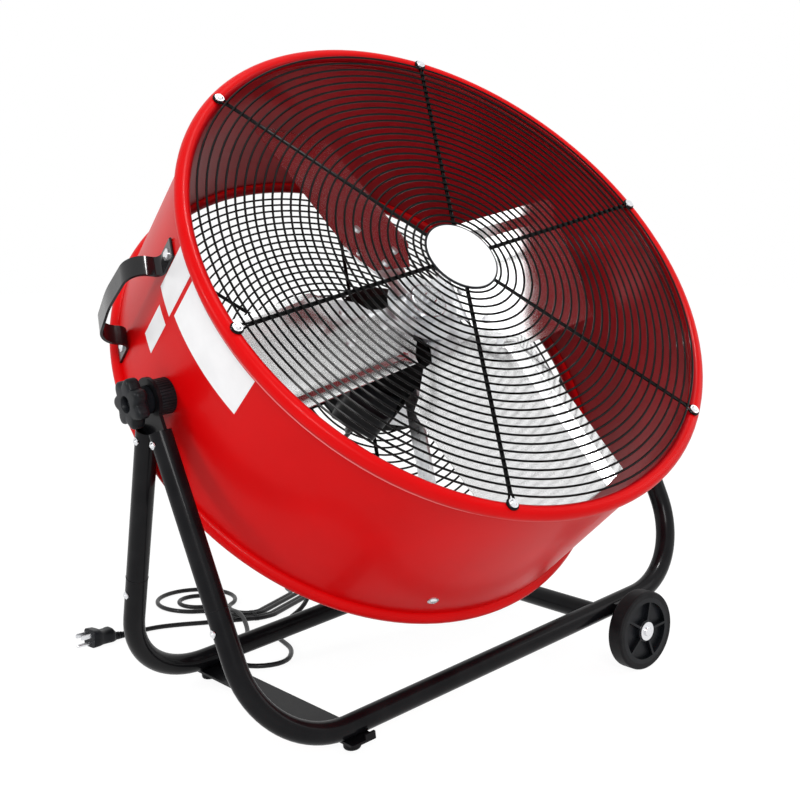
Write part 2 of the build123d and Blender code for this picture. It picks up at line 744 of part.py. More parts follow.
with BuildPart() as motor_body:
    with BuildSketch(Plane.XY.offset(BODY_REAR)):
        Circle(MOTOR_R)
        with PolarLocations(MOTOR_R, FINS):
            Rectangle(2 * FIN_DEPTH, FIN_SLOT, mode=Mode.SUBTRACT)
    extrude(amount=BODY_FRONT - BODY_REAR)
    with BuildSketch(Plane.XY.offset(SHAFT_END - GAP)):
        Circle(SHAFT_D / 2 + FIT)
    extrude(amount=SHAFT_DEEP + GAP, mode=Mode.SUBTRACT)
keep(motor_body, "motor_body", DRUM)


def bell(seat, way, bore):
    """Dished end cover of the motor with a ring of vents."""
    with BuildPart() as cover:
        with BuildSketch(Plane.XY.offset(seat)):
            Circle(MOTOR_R)
        with BuildSketch(Plane.XY.offset(seat + way * BELL_T)):
            Circle(BELL_R)
        loft()
        with BuildSketch(Plane.XY.offset(seat + way * BELL_T)):
            with PolarLocations((BELL_R + SHAFT_D) / 2, VENTS):
                Circle(VENT_D / 2)
        extrude(amount=-way * BELL_T, mode=Mode.SUBTRACT)
        if bore:
            with BuildSketch(Plane.XY.offset(seat)):
                Circle(SHAFT_D / 2 + FIT)
            extrude(amount=way * BELL_T, mode=Mode.SUBTRACT)
    return cover


keep(bell(BODY_FRONT, 1, True), "motor_front_bell", DRUM)
keep(bell(BODY_REAR, -1, False), "motor_rear_bell", DRUM)


def strut(theta, way):
    """Folded plate from the motor to the skin, with both feet turned one way round."""
    turned = Plane(origin=(0, 0, STRUT_REAR), z_dir=(0, 0, 1)).rotated((0, 0, theta))
    outer = math.sqrt((SKIN_R - SKIN_T - FIT) ** 2 - STRUT_FOOT**2)
    inner = MOTOR_R + FIT
    hand = Align.MIN if way > 0 else Align.MAX
    with BuildPart() as plate:
        with BuildSketch(turned):
            with Locations((outer, 0)):
                Rectangle(STRUT_T, STRUT_FOOT, align=(Align.MAX, hand))
            with Locations((inner, 0)):
                Rectangle(STRUT_T, STRUT_FOOT, align=(Align.MIN, hand))
        extrude(amount=STRUT_FRONT - STRUT_REAR)
        with BuildSketch(turned.offset(STRUT_FRONT - STRUT_REAR - STRUT_WEB)):
            with Locations((inner, 0)):
                Rectangle(outer - inner, STRUT_T, align=(Align.MIN, hand))
        extrude(amount=STRUT_WEB)
        drill([strut_hole(theta, way)], GUARD_SCREW_D + 2 * HOLE, 4 * SCREW_LEN)
    return plate


for name, side in strut_sides.items():
    keep(strut(*side), f"motor_strut_{name}", DRUM)

with BuildPart() as strut_screws:
    screws(strut_holes, SCREW_HEAD_D + 4, SCREW_HEAD_H, GUARD_SCREW_D, SCREW_LEN)
keep(strut_screws, "strut_screws", DRUM)

with BuildPart() as motor_box:
    turned = Plane(origin=(0, 0, MOTOR_BOX_REAR), z_dir=(0, 0, 1)).rotated((0, 0, MOTOR_BOX_AT))
    with BuildSketch(turned):
        Rectangle(MOTOR_BOX_OUT, MOTOR_BOX_W, align=(Align.MIN, Align.CENTER))
        Circle(MOTOR_R + FIT, mode=Mode.SUBTRACT)
    extrude(amount=MOTOR_BOX_FRONT - MOTOR_BOX_REAR)
    far = motor_box.faces().sort_by(Axis(origin=(0, 0, 0), direction=turned.x_dir))[-1]
    fillet(far.edges(), radius=MOTOR_BOX_EDGE)
keep(motor_box, "motor_box", DRUM)

with BuildPart() as switch_box:
    with BuildSketch(Plane.XY.offset(MOTOR_REAR)):
        Circle(SWITCH_R)
    extrude(amount=SWITCH_REAR - MOTOR_REAR)
    fillet(switch_box.faces().sort_by(Axis.Z)[0].edges(), radius=3)
    with BuildSketch(Plane.XY.offset(SWITCH_REAR)):
        with Locations((0, DIAL_UP)):
            Circle(DIAL_STEM_D / 2 + FIT)
    extrude(amount=DIAL_STEM + GAP, mode=Mode.SUBTRACT)
keep(switch_box, "switch_box", DRUM)

with BuildPart() as speed_dial:
    with BuildSketch(Plane(origin=(0, 0, SWITCH_REAR - GAP), z_dir=(0, 0, -1), x_dir=(1, 0, 0))):
        with Locations((0, -DIAL_UP)):
            Circle(DIAL_R)
    extrude(amount=4)
    with BuildSketch(Plane(origin=(0, 0, SWITCH_REAR - GAP - 4), z_dir=(0, 0, -1), x_dir=(1, 0, 0))):
        with Locations((0, -DIAL_UP)):
            Circle(DIAL_R - 3)
            Rectangle(2 * DIAL_R - 1, 7)
    extrude(amount=DIAL_T - 4)
    with BuildSketch(Plane.XY.offset(SWITCH_REAR - GAP)):
        with Locations((0, DIAL_UP)):
            Circle(DIAL_STEM_D / 2)
    extrude(amount=DIAL_STEM)
keep(speed_dial, "speed_dial", DRUM)

with BuildPart() as cord_gland:
    with BuildSketch(Plane.XY.offset(SWITCH_REAR)):
        with Locations((0, -GLAND_DOWN)):
            Circle(GLAND_R)
    with BuildSketch(Plane.XY.offset(SWITCH_REAR - GLAND_LEN)):
        with Locations((0, -GLAND_DOWN)):
            Circle(CORD_D / 2 + 1)
    loft()
keep(cord_gland, "cord_gland", DRUM)

with BuildPart() as motor_lead:
    lead_at = math.radians(MOTOR_BOX_AT)
    out = Vector(math.cos(lead_at), math.sin(lead_at), 0)
    behind = (MOTOR_REAR + REAR_FACE) / 2
    with BuildLine() as path:
        FilletPolyline(
            out * (MOTOR_R + MOTOR_BOX_OUT) / 2 + Vector(0, 0, MOTOR_BOX_REAR - FIT),
            out * (MOTOR_R + MOTOR_BOX_OUT) / 2 + Vector(0, 0, behind),
            out * (SWITCH_R + FIT) + Vector(0, 0, behind),
            radius=3 * LEAD_D,
        )
    with BuildSketch(Plane(origin=path.line @ 0, x_dir=out, z_dir=path.line % 0)):
        Circle(LEAD_D / 2)
    sweep()
keep(motor_lead, "motor_lead", DRUM)


# ------------------------------------------------------------------------- fan
SLOPE_LEN = math.hypot(1, BLADE_SLOPE)


def blade_plane(index, lift=0):
    """Plane of a blade: X out along its middle line, Y towards its forward edge."""
    theta = math.radians(BLADE_AT + 360 / BLADES * index)
    out = Vector(math.cos(theta), math.sin(theta), 0)
    round_way = Vector(-out.Y, out.X, 0)
    normal = (Vector(0, 0, 1) - round_way * BLADE_SLOPE).normalized()
    return Plane(origin=Vector(0, 0, BLADE_D) + normal * lift, x_dir=out, z_dir=normal)


rivet_spots = ((RIVET_IN, 0), (RIVET_MID, RIVET_SIDE), (RIVET_MID, -RIVET_SIDE), (RIVET_OUT, 0))


def blade(index):
    """Sheet blade with both long edges bent flatter."""
    corners = (
        (BLADE_ROOT, LEAD_ROOT_W * SLOPE_LEN),
        (BLADE_SHOULDER, LEAD_W_IN * SLOPE_LEN),
        (BLADE_TIP_R, LEAD_W_OUT * SLOPE_LEN),
        (BLADE_TIP_R, -TRAIL_W_OUT * SLOPE_LEN),
        (BLADE_SHOULDER, -TRAIL_W_IN * SLOPE_LEN),
        (BLADE_ROOT, -TRAIL_ROOT_W * SLOPE_LEN),
    )
    plane = blade_plane(index)
    with BuildPart() as sheet:
        with BuildSketch(plane):
            with BuildLine():
                Polyline(*corners, close=True)
            make_face()
            with Locations(*rivet_spots):
                Circle(RIVET_D / 2 + FIT, mode=Mode.SUBTRACT)
        extrude(amount=BLADE_T)
        for first, second, way in ((1, 2, 1), (4, 3, -1)):
            start = plane.from_local_coords(Vector(*corners[first], 0))
            stop = plane.from_local_coords(Vector(*corners[second], 0))
            along = (stop - start).normalized()
            normal = plane.z_dir.rotate(Axis((0, 0, 0), along), -way * LIP_BEND)
            with BuildSketch(Plane(origin=start, x_dir=along, z_dir=normal)):
                Rectangle(
                    (stop - start).length,
                    LIP_W + BLADE_T,
                    align=(Align.MIN, Align.CENTER),
                )
                with Locations((0, -way * BLADE_T)):
                    Rectangle(
                        2 * (stop - start).length + 2 * LIP_W,
                        2 * LIP_W,
                        align=(Align.CENTER, Align.MAX if way > 0 else Align.MIN),
                        mode=Mode.SUBTRACT,
                    )
            extrude(amount=BLADE_T)
        Cylinder(BLADE_TIP_R, 2 * SKIN_R, mode=Mode.INTERSECT)
    return sheet


for index in range(BLADES):
    keep(blade(index), f"blade_{index + 1}", DRUM)

with BuildPart() as fan_spider:
    with BuildSketch(Plane.XY.offset(BLADE_D - SPIDER_T / 2)):
        Circle(SPIDER_R)
    extrude(amount=SPIDER_T)
    for index in range(BLADES):
        with BuildSketch(blade_plane(index)):
            with BuildLine():
                Polyline(
                    (FAN_HUB_R, ARM_ROOT_W / 2),
                    (SPIDER_R, ARM_ROOT_W / 2),
                    (ARM_MID, ARM_MID_W / 2),
                    (ARM_TIP, ARM_TIP_W / 2),
                    (ARM_TIP, -ARM_TIP_W / 2),
                    (ARM_MID, -ARM_MID_W / 2),
                    (SPIDER_R, -ARM_ROOT_W / 2),
                    (FAN_HUB_R, -ARM_ROOT_W / 2),
                    close=True,
                )
            make_face()
            with Locations(*rivet_spots):
                Circle(RIVET_D / 2 + FIT, mode=Mode.SUBTRACT)
        extrude(amount=-SPIDER_T)
    Cylinder(FAN_HUB_R + FIT, 2 * SKIN_R, mode=Mode.SUBTRACT)
keep(fan_spider, "fan_spider", DRUM)

with BuildPart() as fan_hub:
    with BuildSketch(Plane.XY.offset(FAN_HUB_REAR)):
        Circle(FAN_HUB_R)
        Circle(SHAFT_D / 2 + FIT, mode=Mode.SUBTRACT)
    extrude(amount=FAN_HUB_FRONT - FAN_HUB_REAR)
    fillet(fan_hub.faces().sort_by(Axis.Z)[-1].outer_wire().edges(), radius=3)
keep(fan_hub, "fan_hub", DRUM)

with BuildPart() as fan_shaft:
    with BuildSketch(Plane.XY.offset(SHAFT_END)):
        Circle(SHAFT_D / 2)
    extrude(amount=SHAFT_TIP - SHAFT_END)
    chamfer(fan_shaft.faces().sort_by(Axis.Z)[-1].edges(), length=1.5)
keep(fan_shaft, "fan_shaft", DRUM)

with BuildPart() as blade_rivets:
    for index in range(BLADES):
        top = Location(blade_plane(index, BLADE_T))
        bottom = Location(blade_plane(index, -SPIDER_T - RIVET_HEAD / 2))
        with Locations(*[top * Pos(x, y, 0) for x, y in rivet_spots]):
            Cylinder(RIVET_HEAD_R, RIVET_HEAD, align=(Align.CENTER, Align.CENTER, Align.MIN))
        with Locations(*[bottom * Pos(x, y, 0) for x, y in rivet_spots]):
            Cylinder(
                RIVET_D / 2,
                SPIDER_T + BLADE_T + RIVET_HEAD / 2,
                align=(Align.CENTER, Align.CENTER, Align.MIN),
            )
keep(blade_rivets, "blade_rivets", DRUM)


# ------------------------------------------------------------------------ cord
def corner_radii(points):
    """0.45 of the shorter run at each corner, over the tangent of half the turn."""
    radii = []
    for before, here, after in zip(points, points[1:], points[2:]):
        turn = (here - before).get_angle(after - here)
        short = min((here - before).length, (after - here).length)
        radii.append(0.45 * short / math.tan(math.radians(turn / 2)))
    return radii


def free_tube(points, name):
    """A tube of the cord's section along straight runs joined by tangent arcs."""
    radii = corner_radii(points)
    with BuildPart() as tube:
        with BuildLine() as path:
            FilletPolyline(*points, radius=radii)
        with BuildSketch(Plane(origin=path.line @ 0, z_dir=path.line % 0)):
            Circle(CORD_D / 2)
        sweep()
    length = path.wire().length
    section = math.pi * CORD_D**2 / 4
    print(name, "length", round(length, 1), "radii", [round(r, 1) for r in radii])
    print(name, "volume over section x length", round(tube.part.volume / (section * length), 4))
    return tube


CORD_Z = CORD_D / 2 + TIE_T + FIT


def lobe(spread, shape):
    """Moves round one end: run out, flare, round the lobe in two arcs, flare, run back."""
    radius, flare, reach = shape
    open_by = math.degrees(math.acos((spread + flare) / (radius + flare)))
    run = reach - (radius + flare) * math.sin(math.radians(open_by))
    half = 90 + open_by
    return [
        (run,),
        (flare, -open_by),
        (radius, half),
        (radius, half),
        (flare, -open_by),
        (run,),
    ]


BEND = 180 - HANK_LEFT + HANK_RIGHT
P = CORD_PITCH
moves = [(HANK_LEAD_RUN,), (HANK_BEND + 2 * P, HANK_RIGHT - HANK_START)]
moves += lobe(2 * P, RIGHT_OUTER)
moves += [(HANK_BEND - 2 * P, -BEND)]
moves += lobe(1.5 * P, LEFT_OUTER)
moves += [(HANK_BEND + P, BEND)]
moves += lobe(P, RIGHT_INNER)
moves += [(HANK_BEND - P, -BEND)]
moves += lobe(0.5 * P, LEFT_INNER)
moves[-1] = (HANK_TAIL_RUN,)


def heading_vector(degrees):
    return Vector(math.cos(math.radians(degrees)), math.sin(math.radians(degrees)), 0)


join = Vector(HANK_X, HANK_Y, CORD_Z) + heading_vector(HANK_START - 90) * (HANK_BEND + 2 * P)
hank_start = join - heading_vector(HANK_START) * HANK_LEAD_RUN

with BuildPart() as cord_hank:
    trail = []
    with BuildLine() as path:
        here = hank_start
        heading = HANK_START
        for move in moves:
            if len(move) == 1:
                there = here + heading_vector(heading) * move[0]
                Line(here, there)
                steps = max(2, int(move[0] / 2))
                trail += [here + (there - here) * (k / steps) for k in range(steps)]
            else:
                radius, turn = move
                way = 1 if turn > 0 else -1
                middle = here + heading_vector(heading + 90 * way) * radius
                spoke = [
                    middle + heading_vector(heading - 90 * way + turn * k / 40) * radius
                    for k in range(41)
                ]
                there = spoke[40]
                ThreePointArc(here, spoke[20], there)
                trail += spoke[:40]
                heading += turn
            here = there
    hank_end = here
    hank_heading = heading
    with BuildSketch(Plane(origin=hank_start, z_dir=heading_vector(HANK_START))):
        Circle(CORD_D / 2)
    sweep()
hank_length = path.wire().length
least = min(
    (a - b).length
    for i, a in enumerate(trail)
    for b in trail[i + 40 :]
    if abs(a.X - b.X) < 3 * CORD_D and abs(a.Y - b.Y) < 3 * CORD_D
)
print("hank length", round(hank_length, 1), "least gap to itself", round(least - CORD_D, 2))
print("hank volume ratio", round(cord_hank.part.volume / (math.pi * CORD_D**2 / 4 * hank_length), 4))
keep(cord_hank, "cord_hank", FLOOR)

with BuildPart() as cord_tie:
    tie_middle = Vector(HANK_X, HANK_Y, CORD_Z) + heading_vector(TIE_AT) * HANK_BEND
    across = Plane(origin=tie_middle, x_dir=heading_vector(TIE_AT), z_dir=heading_vector(TIE_AT + 90))
    with BuildSketch(across):
        wide = 4 * P + CORD_D + 2 * TIE_SLACK
        Rectangle(wide + 2 * TIE_T, CORD_D + 2 * TIE_T + 2 * FIT)
        Rectangle(wide, CORD_D + 2 * FIT, mode=Mode.SUBTRACT)
    extrude(amount=TIE_W / 2, both=True)
keep(cord_tie, "cord_tie", FLOOR)

plug_way = heading_vector(186)
plug_tip = Vector(-233, 358, CORD_Z)
lead_last = hank_start - heading_vector(HANK_START) * 44
lead_points = [
    plug_tip,
    plug_tip - plug_way * 36,
    Vector(-160, 351, CORD_Z),
    lead_last,
    hank_start,
]
keep(free_tube(lead_points, "lead"), "cord_lead", FLOOR)

with BuildPart() as cord_plug:
    back = Plane(origin=plug_tip, x_dir=(-plug_way.Y, plug_way.X, 0), z_dir=plug_way)
    rise = PLUG_H / 2 - CORD_Z + FIT
    with BuildSketch(back):
        Circle(CORD_Z - FIT)
    with BuildSketch(back.offset(PLUG_RELIEF)):
        with Locations((0, RELIEF_FLARE)):
            Circle(CORD_Z - FIT + RELIEF_FLARE)
    loft()
    with BuildSketch(back.offset(PLUG_RELIEF)):
        with Locations((0, rise)):
            RectangleRounded(PLUG_W, PLUG_H, 6)
    extrude(amount=PLUG_LEN)
    with BuildSketch(back.offset(PLUG_RELIEF + PLUG_LEN)):
        with Locations((-PIN_GAP / 2, rise + PINS_UP), (PIN_GAP / 2, rise + PINS_UP)):
            Rectangle(PIN_T, PIN_W)
    extrude(amount=PIN_LEN)
    with BuildSketch(back.offset(PLUG_RELIEF + PLUG_LEN)):
        with Locations((0, rise + PINS_UP - EARTH_PIN_DOWN)):
            Circle(EARTH_PIN_D / 2)
    extrude(amount=EARTH_PIN_LEN)
keep(cord_plug, "cord_plug", FLOOR)

gland_end = DRUM * Pos(0, -GLAND_DOWN, SWITCH_REAR - GLAND_LEN)
exit_point = gland_end.position
exit_way = (DRUM * Pos(0, -GLAND_DOWN, SWITCH_REAR - 2 * GLAND_LEN)).position - exit_point
exit_way = exit_way.normalized()
tail_way = heading_vector(hank_heading)
tail_points = [
    hank_end,
    hank_end + tail_way * 12,
    hank_end + tail_way * 30.5 + Vector(0, 0, 5.5),
    Vector(-75.5, 326, 13.2),
    Vector(-80, 304, 12.8),
    Vector(-91, 276, 8),
    Vector(-107, 248, CORD_Z),
    Vector(-148, 214, CORD_Z),
    Vector(-188, 183, CORD_Z),
    Vector(-179, 134, CORD_Z),
    Vector(-133, 119, CORD_Z),
    Vector(-96, 156, CORD_Z),
    Vector(-85, 199, CORD_Z),
    Vector(-77, 239, CORD_Z),
    Vector(-36, 262, CORD_Z),
    Vector(2, 256, 26),
    Vector(4, 250, 70),
    Vector(-2, 240, 128),
    Vector(-10, 222, 190),
    Vector(-20, 194, 248),
    exit_point + exit_way * 42,
    exit_point,
]
keep(free_tube(tail_points, "tail"), "cord_tail", FLOOR)
print("tail runs", [round((b - a).length, 1) for a, b in zip(tail_points, tail_points[1:])])

# ---------------------------------------------------------------- put on floor
object_pieces = [piece for piece in pieces if not piece.label.startswith("cord_")]
boxes = [piece.bounding_box() for piece in object_pieces]
centre_x = (min(box.min.X for box in boxes) + max(box.max.X for box in boxes)) / 2
centre_y = (min(box.min.Y for box in boxes) + max(box.max.Y for box in boxes)) / 2
SETTLE = Pos(-centre_x, -centre_y, 0)
print("lean", round(LEAN, 3), "lift", round(LIFT, 3), "settle", -centre_x, -centre_y)
print("lowest", round(min(box.min.Z for box in boxes), 4))
print("lowest with cord", round(min(piece.bounding_box().min.Z for piece in pieces), 4))
print("pieces", len(pieces))
for piece in pieces:
    settled = SETTLE * piece
    settled.label = piece.label
    export_step(settled, f"parts/{piece.label}.step")
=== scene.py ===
"""Dresses the drum fan: camera, materials, cord, guards, blades, labels, details and light."""

import json
import math

import bpy
from mathutils import Matrix, Vector


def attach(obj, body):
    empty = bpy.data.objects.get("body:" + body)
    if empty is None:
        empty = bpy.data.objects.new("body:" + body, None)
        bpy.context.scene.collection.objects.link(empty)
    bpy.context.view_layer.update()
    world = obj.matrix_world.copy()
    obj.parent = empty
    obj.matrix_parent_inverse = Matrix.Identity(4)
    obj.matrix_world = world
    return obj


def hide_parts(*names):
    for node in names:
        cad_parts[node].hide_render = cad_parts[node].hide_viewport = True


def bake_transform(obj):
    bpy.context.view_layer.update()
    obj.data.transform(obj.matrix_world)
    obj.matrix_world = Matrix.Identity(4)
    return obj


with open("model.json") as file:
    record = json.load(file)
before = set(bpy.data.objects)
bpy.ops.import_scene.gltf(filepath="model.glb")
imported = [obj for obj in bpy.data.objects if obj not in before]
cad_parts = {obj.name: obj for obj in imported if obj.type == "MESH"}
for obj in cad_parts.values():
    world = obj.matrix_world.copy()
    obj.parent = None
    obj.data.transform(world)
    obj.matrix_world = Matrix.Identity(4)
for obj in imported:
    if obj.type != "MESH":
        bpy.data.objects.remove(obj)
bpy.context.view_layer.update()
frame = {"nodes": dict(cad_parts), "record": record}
nodes = frame["nodes"]
joints = {j["name"]: j for j in frame["record"]["behaviour"]["joints"]}

MM = 0.001
PIVOT = Vector(joints["drum_tilt"]["pos_m"])
TILT_X = Vector(joints["drum_tilt"]["axis"]).normalized()
FAN_AXIS = Vector(joints["fan_spin"]["axis"]).normalized()
UP = FAN_AXIS.cross(TILT_X)
SETTLE = Vector((37.9759, 25.0155, 0))
PIVOT_Z = 372.696  # pivot above the middle of the floor runs
STAND_UP = Vector((-TILT_X.z, 0, TILT_X.x))


def in_drum(radius, theta, depth):
    """A point round the fan axis, from millimetres and degrees."""
    angle = math.radians(theta)
    side = TILT_X * math.cos(angle) + UP * math.sin(angle)
    return PIVOT + (side * radius + FAN_AXIS * depth) * MM


def on_stand(x, y, z):
    """A point of the stand, from its own frame in millimetres."""
    return PIVOT + (TILT_X * x + Vector((0, y, 0)) + STAND_UP * (z - PIVOT_Z)) * MM


def on_floor(x, y, z):
    """A point of the cord's route, from part.py's floor frame in millimetres."""
    return (Vector((x, y, z)) + SETTLE) * MM


# --------------------------------------------------------------------- camera
AZIMUTH = math.radians(-39.82)
ELEVATION = math.radians(7.18)
CAMERA_AT = (-1.0295, -1.1802, 0.5667)
back = Vector(
    (
        math.sin(AZIMUTH) * math.cos(ELEVATION),
        -math.cos(AZIMUTH) * math.cos(ELEVATION),
        math.sin(ELEVATION),
    )
)
right = Vector((math.cos(AZIMUTH), math.sin(AZIMUTH), 0))
camera_data = bpy.data.cameras.new("camera")
camera_data.lens = 58.07
camera_data.sensor_width = 36
camera_data.shift_x = 0.0158
camera_data.shift_y = -0.0152
camera_data.clip_start = 0.05
camera = bpy.data.objects.new("camera", camera_data)
bpy.context.scene.collection.objects.link(camera)
turn = Matrix((right, back.cross(right), back)).transposed()
camera.matrix_world = Matrix.Translation(CAMERA_AT) @ turn.to_4x4()
bpy.context.scene.camera = camera


# ------------------------------------------------------------------ materials
def principled(name, colour, rough, metal=0.0, coat=0.0, coat_rough=0.1, specular=0.5):
    """A material whose constants sit on the shader's own sockets."""
    made = bpy.data.materials.new(name)
    made.use_nodes = True
    shader = made.node_tree.nodes["Principled BSDF"]
    shader.inputs["Base Color"].default_value = (*colour, 1)
    shader.inputs["Roughness"].default_value = rough
    shader.inputs["Metallic"].default_value = metal
    shader.inputs["Coat Weight"].default_value = coat
    shader.inputs["Coat Roughness"].default_value = coat_rough
    shader.inputs["Specular IOR Level"].default_value = specular
    made.diffuse_color = (*colour, 1)
    return made


def noise(tree, scale, detail=3.0, stretch=(1, 1, 1), rough=0.5):
    """Noise on the object's own coordinates, in features per metre."""
    place = tree.nodes.new("ShaderNodeTexCoord")
    mapping = tree.nodes.new("ShaderNodeMapping")
    mapping.inputs["Scale"].default_value = stretch
    texture = tree.nodes.new("ShaderNodeTexNoise")
    texture.inputs["Scale"].default_value = scale
    texture.inputs["Detail"].default_value = detail
    texture.inputs["Roughness"].default_value = rough
    tree.links.new(place.outputs["Object"], mapping.inputs["Vector"])
    tree.links.new(mapping.outputs["Vector"], texture.inputs["Vector"])
    return texture


def ramp(tree, source, low, high, first, second):
    """Maps a texture from low..high to the two values or colours."""
    made = tree.nodes.new("ShaderNodeValToRGB")
    made.color_ramp.elements[0].position = low
    made.color_ramp.elements[1].position = high
    made.color_ramp.elements[0].color = first
    made.color_ramp.elements[1].color = second
    tree.links.new(source.outputs["Fac"], made.inputs["Fac"])
    return made


def mottle(made, scale, dark, light, detail=4.0, stretch=(1, 1, 1)):
    """Varies the colour between two shades."""
    tree = made.node_tree
    shade = ramp(tree, noise(tree, scale, detail, stretch), 0.35, 0.65, (*dark, 1), (*light, 1))
    tree.links.new(shade.outputs["Color"], tree.nodes["Principled BSDF"].inputs["Base Color"])
    return made


def uneven(made, scale, smooth, rough, stretch=(1, 1, 1)):
    """Varies the roughness between two values."""
    tree = made.node_tree
    both = [(value, value, value, 1) for value in (smooth, rough)]
    shade = ramp(tree, noise(tree, scale, 3.0, stretch), 0.3, 0.7, *both)
    tree.links.new(shade.outputs["Color"], tree.nodes["Principled BSDF"].inputs["Roughness"])
    return made


def grain(made, scale, strength, distance, detail=2.0, stretch=(1, 1, 1)):
    """Fine relief in the surface."""
    tree = made.node_tree
    bump = tree.nodes.new("ShaderNodeBump")
    bump.inputs["Strength"].default_value = strength
    bump.inputs["Distance"].default_value = distance
    tree.links.new(noise(tree, scale, detail, stretch).outputs["Fac"], bump.inputs["Height"])
    tree.links.new(bump.outputs["Normal"], tree.nodes["Principled BSDF"].inputs["Normal"])
    return made


red_paint = principled(
    "red_paint", (0.63, 0.001, 0.002), 0.36, coat=0.04, coat_rough=0.1, specular=0.08
)
mottle(red_paint, 9, (0.60, 0.0008, 0.0016), (0.66, 0.0010, 0.0022))
grain(red_paint, 700, 0.22, 0.0006)
black_paint = principled(
    "black_paint", (0.005, 0.005, 0.006), 0.3, coat=0.12, coat_rough=0.06, specular=0.06
)
grain(mottle(black_paint, 30, (0.003, 0.003, 0.004), (0.007, 0.007, 0.008)), 900, 0.12, 0.0005)
gloss_black = principled(
    "gloss_black", (0.005, 0.005, 0.006), 0.22, coat=0.4, coat_rough=0.05, specular=0.15
)
grain(mottle(gloss_black, 40, (0.004, 0.004, 0.005), (0.008, 0.008, 0.009)), 500, 0.06, 0.0004)
black_wire = principled(
    "black_wire", (0.002, 0.002, 0.002), 0.22, coat=0.18, coat_rough=0.08, specular=0.03
)
grain(mottle(black_wire, 200, (0.001, 0.001, 0.001), (0.003, 0.003, 0.003)), 1500, 0.1, 0.0002)
black_plastic = principled("black_plastic", (0.006, 0.007, 0.009), 0.38, specular=0.16)
grain(mottle(black_plastic, 60, (0.004, 0.005, 0.006), (0.009, 0.010, 0.013)), 1600, 0.2, 0.0003)
black_motor = principled("black_motor", (0.004, 0.004, 0.004), 0.42, specular=0.05)
grain(mottle(black_motor, 25, (0.002, 0.002, 0.002), (0.006, 0.006, 0.006)), 500, 0.3, 0.0008)
rubber = principled("rubber", (0.006, 0.006, 0.007), 0.55, specular=0.14)
grain(mottle(rubber, 80, (0.004, 0.004, 0.005), (0.009, 0.009, 0.010)), 900, 0.3, 0.0004)
cord_skin = principled("cord_skin", (0.008, 0.008, 0.009), 0.4, coat=0.1, specular=0.2)
grain(mottle(cord_skin, 120, (0.006, 0.006, 0.007), (0.012, 0.012, 0.013)), 700, 0.15, 0.0003)
zinc = principled("zinc", (0.74, 0.75, 0.77), 0.24, metal=1.0)
grain(uneven(zinc, 160, 0.18, 0.36), 900, 0.12, 0.0003)
galvanised = principled("galvanised", (0.8, 0.81, 0.82), 0.32, metal=1.0)
mottle(galvanised, 90, (0.66, 0.67, 0.69), (0.86, 0.87, 0.88), 5.0)
grain(uneven(galvanised, 60, 0.24, 0.42), 400, 0.12, 0.0005)
aluminium = principled("aluminium", (0.96, 0.962, 0.965), 0.12, metal=0.97)
mottle(aluminium, 7, (0.94, 0.942, 0.945), (0.98, 0.982, 0.985), 5.0)
grain(uneven(aluminium, 22, 0.11, 0.18), 120, 0.03, 0.0004)
white_vinyl = principled("white_vinyl", (0.86, 0.86, 0.87), 0.35, coat=0.2, specular=0.3)
grain(mottle(white_vinyl, 30, (0.84, 0.84, 0.85), (0.89, 0.89, 0.90)), 300, 0.05, 0.0003)


def vector_step(tree, operation, first, second):
    """One vector operation, on a socket and a constant or another socket."""
    made = tree.nodes.new("ShaderNodeVectorMath")
    made.operation = operation
    tree.links.new(first, made.inputs[0])
    if isinstance(second, Vector):
        made.inputs[1].default_value = second
    else:
        tree.links.new(second, made.inputs[1])
    return made.outputs["Value" if operation == "DOT_PRODUCT" else "Vector"]


def number_step(tree, operation, first, *constants):
    """One operation on a socket and constants."""
    made = tree.nodes.new("ShaderNodeMath")
    made.operation = operation
    tree.links.new(first, made.inputs[0])
    for socket, constant in zip(made.inputs[1:], constants):
        socket.default_value = constant
    return made.outputs["Value"]


RIDGE_DEPTH = 0.1406  # top of the ridge behind the front bead, along the fan axis
RIDGE_HALF = 0.0008  # half the width of its painted highlight line
# Colour and strength of the painted highlight on the ridge.
RIDGE_HIGHLIGHT_COLOUR = (0.92, 0.36, 0.36, 1)
RIDGE_HIGHLIGHT_SHARE = 0.7
FACING_FROM, FACING_TO = -0.12, -0.28  # from plain paint to full painted shade, by how far the surface faces the fan axis


